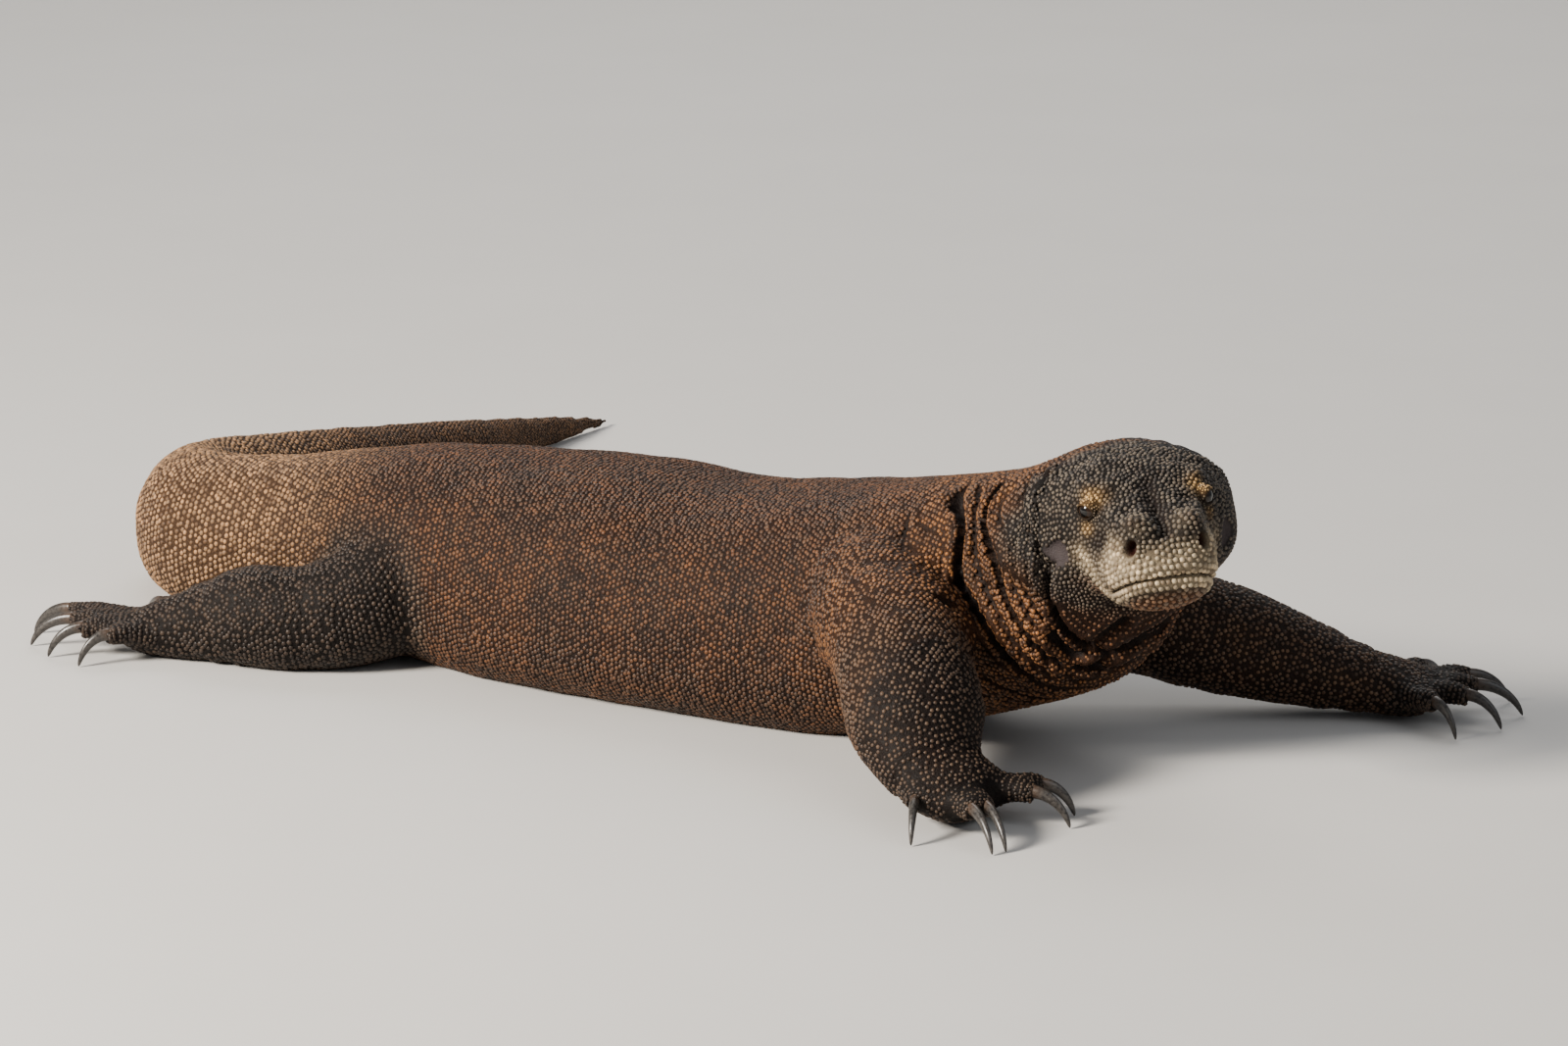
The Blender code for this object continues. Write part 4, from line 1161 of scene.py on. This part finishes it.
# ---- Claws and eyes ---------------------------------------------------------------------------------
def claw_grid(limb, number):
    """Rings of points that shrink along an arc from the digit's end to the floor. Each section is an oval
    whose lower half narrows to a keel, and the root flares a little where it leaves the skin."""
    points, _, way = digit_path(limb, number)
    share = np.linspace(0, 1, CLAW_RINGS)
    bend = math.radians(CLAW_CURL) * share
    arc = CLAW_LENGTH * CLAW_SIZES[number] / math.radians(CLAW_CURL)
    start = points[-1] - way * CLAW_SET_IN + np.array([0, 0, CLAW_RISE])
    floor = SHIFT[2] + CLAW_TIP_HEIGHT
    drop = (1 - np.cos(bend)) / (1 - math.cos(bend[-1])) * (start[2] - floor)
    centres = start + np.outer(arc * np.sin(bend), way) - np.outer(drop, [0, 0, 1])
    taper = (1 - share) ** CLAW_TAPER
    tip = CLAW_TIP_HEIGHT / 2
    half_width = tip + (CLAW_HALF_WIDTH - tip) * taper
    half_height = tip + (CLAW_HALF_HEIGHT - tip) * taper
    across, over = path_frames(centres)
    angle = np.linspace(0, 2 * math.pi, CLAW_SIDES, endpoint=False)
    aside = np.cos(angle) * (1 - CLAW_KEEL * np.clip(-np.sin(angle), 0, 1) ** 2)
    return (
        centres[:, None]
        + across[:, None] * (half_width[:, None] * aside)[..., None]
        + over[:, None] * (half_height[:, None] * np.sin(angle))[..., None]
    )


def eye_ball(side):
    """A sphere whose rings centre on the way the eye looks, with a low bulge over the iris."""
    (back, out, up), way, _ = EYE
    centre = from_head(back, side * out, up)
    look = unit(np.array(way) * (1, side, 1)) @ HEAD_AXES[:3, :3].T
    first = unit(np.cross(HEAD_AXES[:3, 2], look))
    second = np.cross(look, first)
    polar = np.linspace(0.02, math.pi - 0.02, EYEBALL_RINGS)
    around = np.linspace(0, 2 * math.pi, EYEBALL_SIDES, endpoint=False)
    radius = EYEBALL_RADIUS * (0.985 + 0.03 * bell(polar, 0.42))
    ring = np.cos(around)[None, :, None] * first + np.sin(around)[None, :, None] * second
    aside = ring * np.sin(polar)[:, None, None]
    grid = centre + radius[:, None, None] * (aside + np.cos(polar)[:, None, None] * look)
    points, faces = closed_tube(grid[::-1])
    return points, faces, np.append(np.repeat(polar[::-1], EYEBALL_SIDES), [math.pi, 0.0])


# ---- Materials ----------------------------------------------------------------------------------------
class Nodes:
    """A material's node tree, with short calls for the nodes used here."""

    def __init__(self, name):
        self.material = bpy.data.materials.new(name)
        self.material.use_nodes = True
        self.tree = self.material.node_tree
        self.shader = self.tree.nodes["Principled BSDF"]

    def put(self, node, **values):
        """Links or sets a node's inputs by name. A colour has three numbers."""
        for name, value in values.items():
            socket = node.inputs[name.replace("_", " ")]
            if isinstance(value, bpy.types.NodeSocket):
                self.tree.links.new(value, socket)
            else:
                socket.default_value = value if isinstance(value, float) else (*value, 1)
        return node

    def new(self, kind, **values):
        """A new node with these inputs."""
        return self.put(self.tree.nodes.new("ShaderNode" + kind), **values)

    def attribute(self, name):
        """The four numbers of an attribute as sockets."""
        node = self.new("Attribute")
        node.attribute_name = name
        return [*self.new("SeparateColor", Color=node.outputs["Color"]).outputs[:3], node.outputs["Alpha"]]

    def mix(self, factor, first, second, blend="MIX"):
        """The first colour, with the second mixed in by the factor."""
        node = self.tree.nodes.new("ShaderNodeMix")
        node.data_type = "RGBA"
        node.blend_type = blend
        self.put(node, Factor=factor)
        for socket, value in zip(node.inputs[6:8], (first, second)):
            if isinstance(value, bpy.types.NodeSocket):
                self.tree.links.new(value, socket)
            else:
                socket.default_value = (*value, 1)
        return node.outputs[2]

    def tint(self, colour, shares):
        """The colour with each channel multiplied by its share."""
        return self.mix(1.0, colour, shares, "MULTIPLY")

    def math(self, operation, first, second, clamp=False):
        """A sum, product or larger value of two numbers."""
        node = self.tree.nodes.new("ShaderNodeMath")
        node.operation = operation
        node.use_clamp = clamp
        for socket, value in zip(node.inputs, (first, second)):
            if isinstance(value, bpy.types.NodeSocket):
                self.tree.links.new(value, socket)
            else:
                socket.default_value = value
        return node.outputs[0]

    def span(self, value, low, high, new_low=0.0, new_high=1.0):
        """The value moved from low..high to new_low..new_high and clamped there."""
        names = {"From_Min": low, "From_Max": high, "To_Min": new_low, "To_Max": new_high}
        return self.new("MapRange", Value=value, **names).outputs[0]

    def place(self):
        """Object coordinates."""
        return self.new("TexCoord").outputs["Object"]

    def noise(self, place, scale, detail=3.0):
        """Smooth noise from 0 to 1 with features of about 1 / scale metres."""
        return self.new("TexNoise", Vector=place, Scale=scale, Detail=detail, Roughness=0.6).outputs["Fac"]

    def cells(self, place, scale):
        """Distance to the nearest of scattered points, about 1 / scale metres apart."""
        return self.new("TexVoronoi", Vector=place, Scale=scale).outputs["Distance"]

    def finished(self, strength, distance, height, **values):
        """The material, with its shader's inputs set and a bump from the height."""
        bump = self.new("Bump", Strength=strength, Distance=distance, Height=height)
        self.put(self.shader, Normal=bump.outputs["Normal"], **values)
        return self.material


def hide_colour(nodes, colours, place):
    """The colour shared by skin and scales: the ground brown, then each marking mixed in by its weight."""
    marks = dict(zip(("rust", "limb", "tail", "head"), nodes.attribute("marks_a")))
    marks.update(zip(("cream", "yellow", "chin", "nostril"), nodes.attribute("marks_b")))
    blotch = nodes.span(nodes.noise(place, 22.0), 0.36, 0.66)
    patches = nodes.span(nodes.noise(place, 60.0), 0.34, 0.6, 0.35, 1.0)
    colour = nodes.mix(blotch, colours.ground_dark, colours.ground)
    colour = nodes.mix(nodes.math("MULTIPLY", marks["rust"], patches), colour, colours.rust)
    for name in ("tail", "limb", "head", "chin", "cream", "yellow"):
        colour = nodes.mix(marks[name], colour, getattr(colours, name))
    return colour, marks, nodes.noise(place, 160.0)


def scale_material(colours):
    """Horny scales: near black at the rim, and on the crown a tone between dark and pale of their own."""
    nodes = Nodes("scale_horn")
    place = nodes.place()
    colour, marks, fine = hide_colour(nodes, colours, place)
    crown, tint, shade, hue = nodes.attribute("look")
    limb, head, cream = marks["limb"], marks["head"], marks["cream"]
    toned = nodes.mix(nodes.span(tint, 0.05, 0.45), nodes.tint(colour, (0.40, 0.36, 0.34)), colour)
    toned = nodes.mix(nodes.span(tint, 0.55, 1.0, 0.0, 0.9), toned, nodes.tint(colour, (1.75, 1.65, 1.55)))
    toned = nodes.mix(nodes.span(hue, 0.60, 1.0, 0.0, 0.30), toned, colours.speck)
    dark_place = nodes.math("MAXIMUM", limb, nodes.math("SUBTRACT", head, cream, True))
    dark_place = nodes.math("SUBTRACT", dark_place, marks["yellow"], True)
    speck = nodes.math("MULTIPLY", nodes.span(tint, 0.25, 1.0, 0.10, 0.95), dark_place)
    # Partly painted shade: where the limb weight is full, on the hind limbs and every digit, the crowns'
    # specks are dimmed.
    speck = nodes.math("MULTIPLY", speck, nodes.span(limb, 0.75, 1.0, 1.0, 0.45))
    toned = nodes.mix(speck, toned, nodes.mix(head, colours.speck, colours.head_speck))
    rim = nodes.mix(cream, nodes.tint(colour, (0.10, 0.085, 0.08)), nodes.tint(colour, (0.32, 0.29, 0.27)))
    plate = nodes.math("MAXIMUM", limb, nodes.math("MULTIPLY", cream, 0.6))
    level = nodes.mix(plate, nodes.span(crown, 0.25, 0.95), nodes.span(crown, 0.08, 0.62))
    toned = nodes.mix(level, rim, toned)
    # Painted shade: scales in folds and creases, and on the hind limbs, go towards the folds' near black.
    toned = nodes.mix(nodes.math("MULTIPLY", shade, 0.75), toned, colours.fold)
    rough = nodes.span(fine, 0.3, 0.7, 0.45, 0.65)
    look = {"Base_Color": toned, "Roughness": rough, "Specular_IOR_Level": 0.28}
    return nodes.finished(0.25, 0.0004, nodes.noise(place, 900.0, 2.0), **look)


def skin_material(colours):
    """The skin between the scales: the same markings, nearly black, grained with tiny granules."""
    nodes = Nodes("bare_skin")
    place = nodes.place()
    colour, marks, fine = hide_colour(nodes, colours, place)
    _, _, shade, ear = nodes.attribute("look")
    creamy = nodes.math("MULTIPLY", marks["cream"], 0.4)
    dark = nodes.mix(creamy, nodes.tint(colour, (0.13, 0.11, 0.10)), colour)
    granules = nodes.cells(place, 520.0)
    toned = nodes.mix(nodes.span(granules, 0.5, 0.1, 0.0, 0.22), dark, colour)
    # Painted shade: skin sunk in folds, creases and hollows and in the lip groove goes towards the folds'
    # near black.
    toned = nodes.mix(shade, toned, colours.fold)
    toned = nodes.mix(nodes.math("MULTIPLY", ear, 0.9), toned, colours.ear)
    toned = nodes.mix(marks["nostril"], toned, colours.nostril)
    rough = nodes.span(fine, 0.3, 0.7, 0.60, 0.80)
    look = {"Base_Color": toned, "Roughness": rough, "Specular_IOR_Level": 0.15}
    return nodes.finished(0.6, 0.0008, nodes.math("SUBTRACT", 1.0, granules), **look)


def claw_material(colours):
    """Dark horn with fine lengthwise grooves, brown near the root."""
    nodes = Nodes("claw_horn")
    place = nodes.place()
    streaks = nodes.noise(place, 350.0, 2.0)
    colour = nodes.mix(nodes.span(streaks, 0.3, 0.75), colours.claw, colours.claw_pale)
    at_root = nodes.span(nodes.attribute("look")[0], 0.0, 0.25, 0.75, 0.0)
    colour = nodes.mix(at_root, colour, colours.claw_root)
    look = {"Base_Color": colour, "Roughness": nodes.span(streaks, 0.3, 0.7, 0.26, 0.42)}
    return nodes.finished(0.2, 0.0003, nodes.noise(place, 700.0, 2.0), **look)


def eye_material(colours):
    """A wet eye: round black pupil, brown iris with fine flecks, dark rim."""
    nodes = Nodes("wet_eye")
    polar = nodes.attribute("look")[0]
    flecks = nodes.noise(nodes.place(), 1500.0)
    iris = nodes.mix(nodes.span(flecks, 0.35, 0.7), colours.iris_dark, colours.iris)
    colour = nodes.mix(nodes.span(polar, 0.52, 0.60), iris, colours.eye_rim)
    colour = nodes.mix(nodes.span(polar, 0.27, 0.24), colour, colours.pupil)
    look = {"Base_Color": colour, "Roughness": 0.10, "Specular_IOR_Level": 0.3}
    return nodes.finished(0.05, 0.0002, flecks, Coat_Weight=0.2, Coat_Roughness=0.02, **look)


def floor_material(colours):
    """A matt pale floor with faint, broad clouds."""
    nodes = Nodes("pale_floor")
    cloudy = nodes.mix(nodes.noise(nodes.place(), 3.0), colours.floor_dark, colours.floor)
    nodes.put(nodes.shader, Base_Color=cloudy, Roughness=0.85)
    return nodes.material


# ---- Settings, operators and panel ------------------------------------------------------------------
def length(name, description, default):
    """A setting in metres."""
    return FloatProperty(name=name, description=description, default=default, unit="LENGTH", precision=5)


def colour(name, description, default):
    """A setting that is a linear colour."""
    limits = {"subtype": "COLOR", "min": 0, "max": 1}
    return FloatVectorProperty(name=name, description=description, default=default, **limits)


class KomodoSizes(bpy.types.PropertyGroup):
    """Sizes of the skin and its scales."""

    coat_depth: length("Coat depth", "How far the skin lies inside the solids", 0.0018)
    floor_gap: length("Floor gap", "Lowest place of the skin over the floor", 0.0006)
    scale_pitch: length("Scale pitch", "Distance between rings of scales on the body", 0.0054)
    limb_scale_pitch: length("Limb scale pitch", "Distance between rings of scales on the limbs", 0.0064)
    scale_height: length("Scale height", "Height of a scale over the skin", 0.0016)


class KomodoColours(bpy.types.PropertyGroup):
    """Colours of the hide, claws, eyes and floor."""

    ground: colour("Ground", "Brown of the trunk", (0.066, 0.026, 0.0095))
    ground_dark: colour("Dark ground", "Darker brown of the trunk", (0.034, 0.016, 0.0085))
    rust: colour("Rust", "Rust orange of the neck and front flank", (0.195, 0.082, 0.025))
    tail: colour("Tail", "Pale sand of the tail's root", (0.230, 0.130, 0.062))
    limb: colour("Limb", "Near black of the limbs", (0.024, 0.015, 0.010))
    head: colour("Head", "Charcoal of the head", (0.027, 0.021, 0.017))
    cream: colour("Cream", "Cream grey of the snout and lips", (0.420, 0.335, 0.215))
    yellow: colour("Yellow", "Yellow orange over and before the eyes", (0.600, 0.370, 0.130))
    chin: colour("Chin", "Rust of the chin and throat", (0.260, 0.110, 0.042))
    speck: colour("Speck", "Tan crowns of scales on dark ground", (0.098, 0.062, 0.038))
    head_speck: colour("Head speck", "Pale crowns of the head's scales", (0.112, 0.088, 0.063))
    # Painted shade: the near black that stands for the shadow in the folds, creases, hollows and the lip
    # groove, and over the hind limbs' scales.
    fold: colour("Fold", "Near black of the folds", (0.006, 0.003, 0.002))
    ear: colour("Ear", "Bare purple grey skin over the ear", (0.040, 0.031, 0.031))
    nostril: colour("Nostril", "Inside of the nostrils", (0.024, 0.006, 0.003))
    claw: colour("Claw", "Dark grey horn", (0.012, 0.010, 0.009))
    claw_pale: colour("Pale claw", "Worn streaks of the horn", (0.060, 0.053, 0.046))
    claw_root: colour("Claw root", "Brown horn at the claw's root", (0.060, 0.032, 0.017))
    iris: colour("Iris", "Brown of the iris", (0.022, 0.010, 0.004))
    iris_dark: colour("Dark iris", "Dark flecks of the iris", (0.008, 0.004, 0.002))
    eye_rim: colour("Eye rim", "Dark edge of the iris", (0.010, 0.007, 0.005))
    pupil: colour("Pupil", "Black of the pupil", (0.003, 0.003, 0.003))
    floor: colour("Floor", "Pale grey of the floor", (0.56, 0.545, 0.52))
    floor_dark: colour("Dark floor", "Faint clouds on the floor", (0.52, 0.505, 0.48))


class KomodoStage(bpy.types.PropertyGroup):
    """Camera and lights."""

    azimuth: FloatProperty(name="Azimuth", description="Camera's turn to the right", default=40.0)
    elevation: FloatProperty(name="Elevation", description="Camera's height in degrees", default=14.0)
    distance: length("Distance", "From the camera to the animal", 6.0)
    lens: FloatProperty(name="Lens", description="Focal length in millimetres", default=135.0)
    key_power: FloatProperty(name="Key light", description="Power in watts", default=940.0)
    fill_power: FloatProperty(name="Fill light", description="Power in watts", default=90.0)
    back_power: FloatProperty(name="Back light", description="Power in watts", default=245.0)


FLESH = [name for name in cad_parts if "claw" not in name and "eye" not in name]


class KOMODO_OT_skin(bpy.types.Operator):
    """Make the skin that stands for every node of flesh"""

    bl_idname = "komodo.skin"
    bl_label = "Skin"

    def execute(self, context):
        skin = make_skin(context.scene.komodo_sizes)
        skin.data.materials.append(skin_material(context.scene.komodo_colours))
        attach(skin, "root")
        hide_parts(*FLESH)
        print("skin", sum(len(p.vertices) - 2 for p in skin.data.polygons), "triangles")
        return {"FINISHED"}


class KOMODO_OT_scales(bpy.types.Operator):
    """Cover the skin with scales, in one piece for each stretch of the body"""

    bl_idname = "komodo.scales"
    bl_label = "Scales"

    def execute(self, context):
        material = scale_material(context.scene.komodo_colours)
        for piece in make_coat(bpy.data.objects["skin"], context.scene.komodo_sizes):
            piece.data.materials.append(material)
            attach(piece, "root")
        return {"FINISHED"}


class KOMODO_OT_claws(bpy.types.Operator):
    """Make the five claws of each foot as one piece"""

    bl_idname = "komodo.claws"
    bl_label = "Claws"

    def execute(self, context):
        material = claw_material(context.scene.komodo_colours)
        for limb in LIMBS:
            grids = [claw_grid(limb, number) for number in range(5)]
            piece = mesh_object(f"claws_{limb}", *joined([closed_tube(grid) for grid in grids]))
            rings, sides = grids[0].shape[:2]
            share = np.append(np.repeat(np.linspace(0, 1, rings), sides), [0.0, 1.0])
            put_colours(piece.data, "look", np.repeat(np.tile(share, 5)[:, None], 4, axis=1))
            piece.data.materials.append(material)
            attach(piece, "root")
            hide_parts(*(f"{limb}_claw_{number + 1}" for number in range(5)))
        return {"FINISHED"}


class KOMODO_OT_eyes(bpy.types.Operator):
    """Make both eyes"""

    bl_idname = "komodo.eyes"
    bl_label = "Eyes"

    def execute(self, context):
        material = eye_material(context.scene.komodo_colours)
        for name, side in (("left", 1), ("right", -1)):
            points, faces, polar = eye_ball(side)
            piece = mesh_object(f"eyeball_{name}", points, faces)
            put_colours(piece.data, "look", np.repeat(polar[:, None] / math.pi * 2, 4, axis=1))
            piece.data.materials.append(material)
            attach(piece, "root")
            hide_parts(f"eye_{name}")
        return {"FINISHED"}


class KOMODO_OT_stage(bpy.types.Operator):
    """Set the floor, the lights and the camera"""

    bl_idname = "komodo.stage"
    bl_label = "Stage"

    def execute(self, context):
        stage = context.scene.komodo_stage
        scene = context.scene
        across = np.linspace(-FLOOR_HALF, FLOOR_HALF, FLOOR_SQUARES + 1)
        grid = np.stack(np.meshgrid(across, across), axis=-1).reshape(-1, 2)
        numbers = np.arange(len(grid)).reshape(FLOOR_SQUARES + 1, FLOOR_SQUARES + 1)
        a, b = numbers[:-1, :-1].ravel(), numbers[:-1, 1:].ravel()
        c, d = numbers[1:, 1:].ravel(), numbers[1:, :-1].ravel()
        faces = np.vstack([np.column_stack([a, b, c]), np.column_stack([a, c, d])])
        floor = mesh_object("floor", np.column_stack([grid, np.zeros(len(grid))]), faces)
        floor.data.materials.append(floor_material(scene.komodo_colours))
        middle = Vector((0, 0, AIM_HEIGHT)) + Vector(SHIFT)
        azimuth, elevation = math.radians(stage.azimuth), math.radians(stage.elevation)
        right = Vector((math.cos(azimuth), math.sin(azimuth), 0))
        toward = Vector((math.sin(azimuth), -math.cos(azimuth), 0))
        way = toward * math.cos(elevation) + Vector((0, 0, math.sin(elevation)))
        camera = bpy.data.objects.new("camera", bpy.data.cameras.new("camera"))
        camera.data.lens = stage.lens
        camera.data.sensor_width = SENSOR_WIDTH
        camera.location = middle + way * stage.distance
        camera.rotation_euler = (-way).to_track_quat("-Z", "Y").to_euler()
        scene.collection.objects.link(camera)
        scene.camera = camera
        for name, ((aside, ahead, up), size, tone) in LIGHTS.items():
            offset = right * aside + toward * ahead + Vector((0, 0, up))
            light = bpy.data.objects.new(name, bpy.data.lights.new(name, "AREA"))
            light.data.size = size
            light.data.energy = getattr(stage, f"{name}_power")
            light.data.color = tone
            light.location = middle + offset
            light.rotation_euler = (-offset).to_track_quat("-Z", "Y").to_euler()
            scene.collection.objects.link(light)
        world = bpy.data.worlds.new("studio")
        world.use_nodes = True
        sky = world.node_tree.nodes["Background"]
        sky.inputs["Color"].default_value = SKY_COLOUR
        sky.inputs["Strength"].default_value = SKY_STRENGTH
        scene.world = world
        return {"FINISHED"}


OPERATORS = (KOMODO_OT_skin, KOMODO_OT_scales, KOMODO_OT_claws, KOMODO_OT_eyes, KOMODO_OT_stage)


class KOMODO_PT_panel(bpy.types.Panel):
    """Buttons for every piece and the settings that shape them"""

    bl_idname = "KOMODO_PT_panel"
    bl_label = "Komodo dragon"
    bl_space_type = "VIEW_3D"
    bl_region_type = "UI"
    bl_category = "Komodo"

    def draw(self, context):
        for operator in OPERATORS:
            self.layout.operator(operator.bl_idname)
        for group in (getattr(context.scene, name) for name in GROUPS):
            for name in group.bl_rna.properties.keys():
                if name not in ("rna_type", "name"):
                    self.layout.prop(group, name)


GROUPS = {"komodo_sizes": KomodoSizes, "komodo_colours": KomodoColours, "komodo_stage": KomodoStage}


def register():
    """Adds the settings, the operators and the panel."""
    for cls in (*GROUPS.values(), *OPERATORS, KOMODO_PT_panel):
        bpy.utils.register_class(cls)
    for name, group in GROUPS.items():
        setattr(bpy.types.Scene, name, PointerProperty(type=group))


def unregister():
    """Takes them away again."""
    for name in GROUPS:
        delattr(bpy.types.Scene, name)
    for cls in reversed((*GROUPS.values(), *OPERATORS, KOMODO_PT_panel)):
        bpy.utils.unregister_class(cls)


def main():
    """Makes every piece and the stage."""
    register()
    for operator in OPERATORS:
        getattr(bpy.ops.komodo, operator.bl_idname.split(".")[1])()


if __name__ == "__main__":
    main()
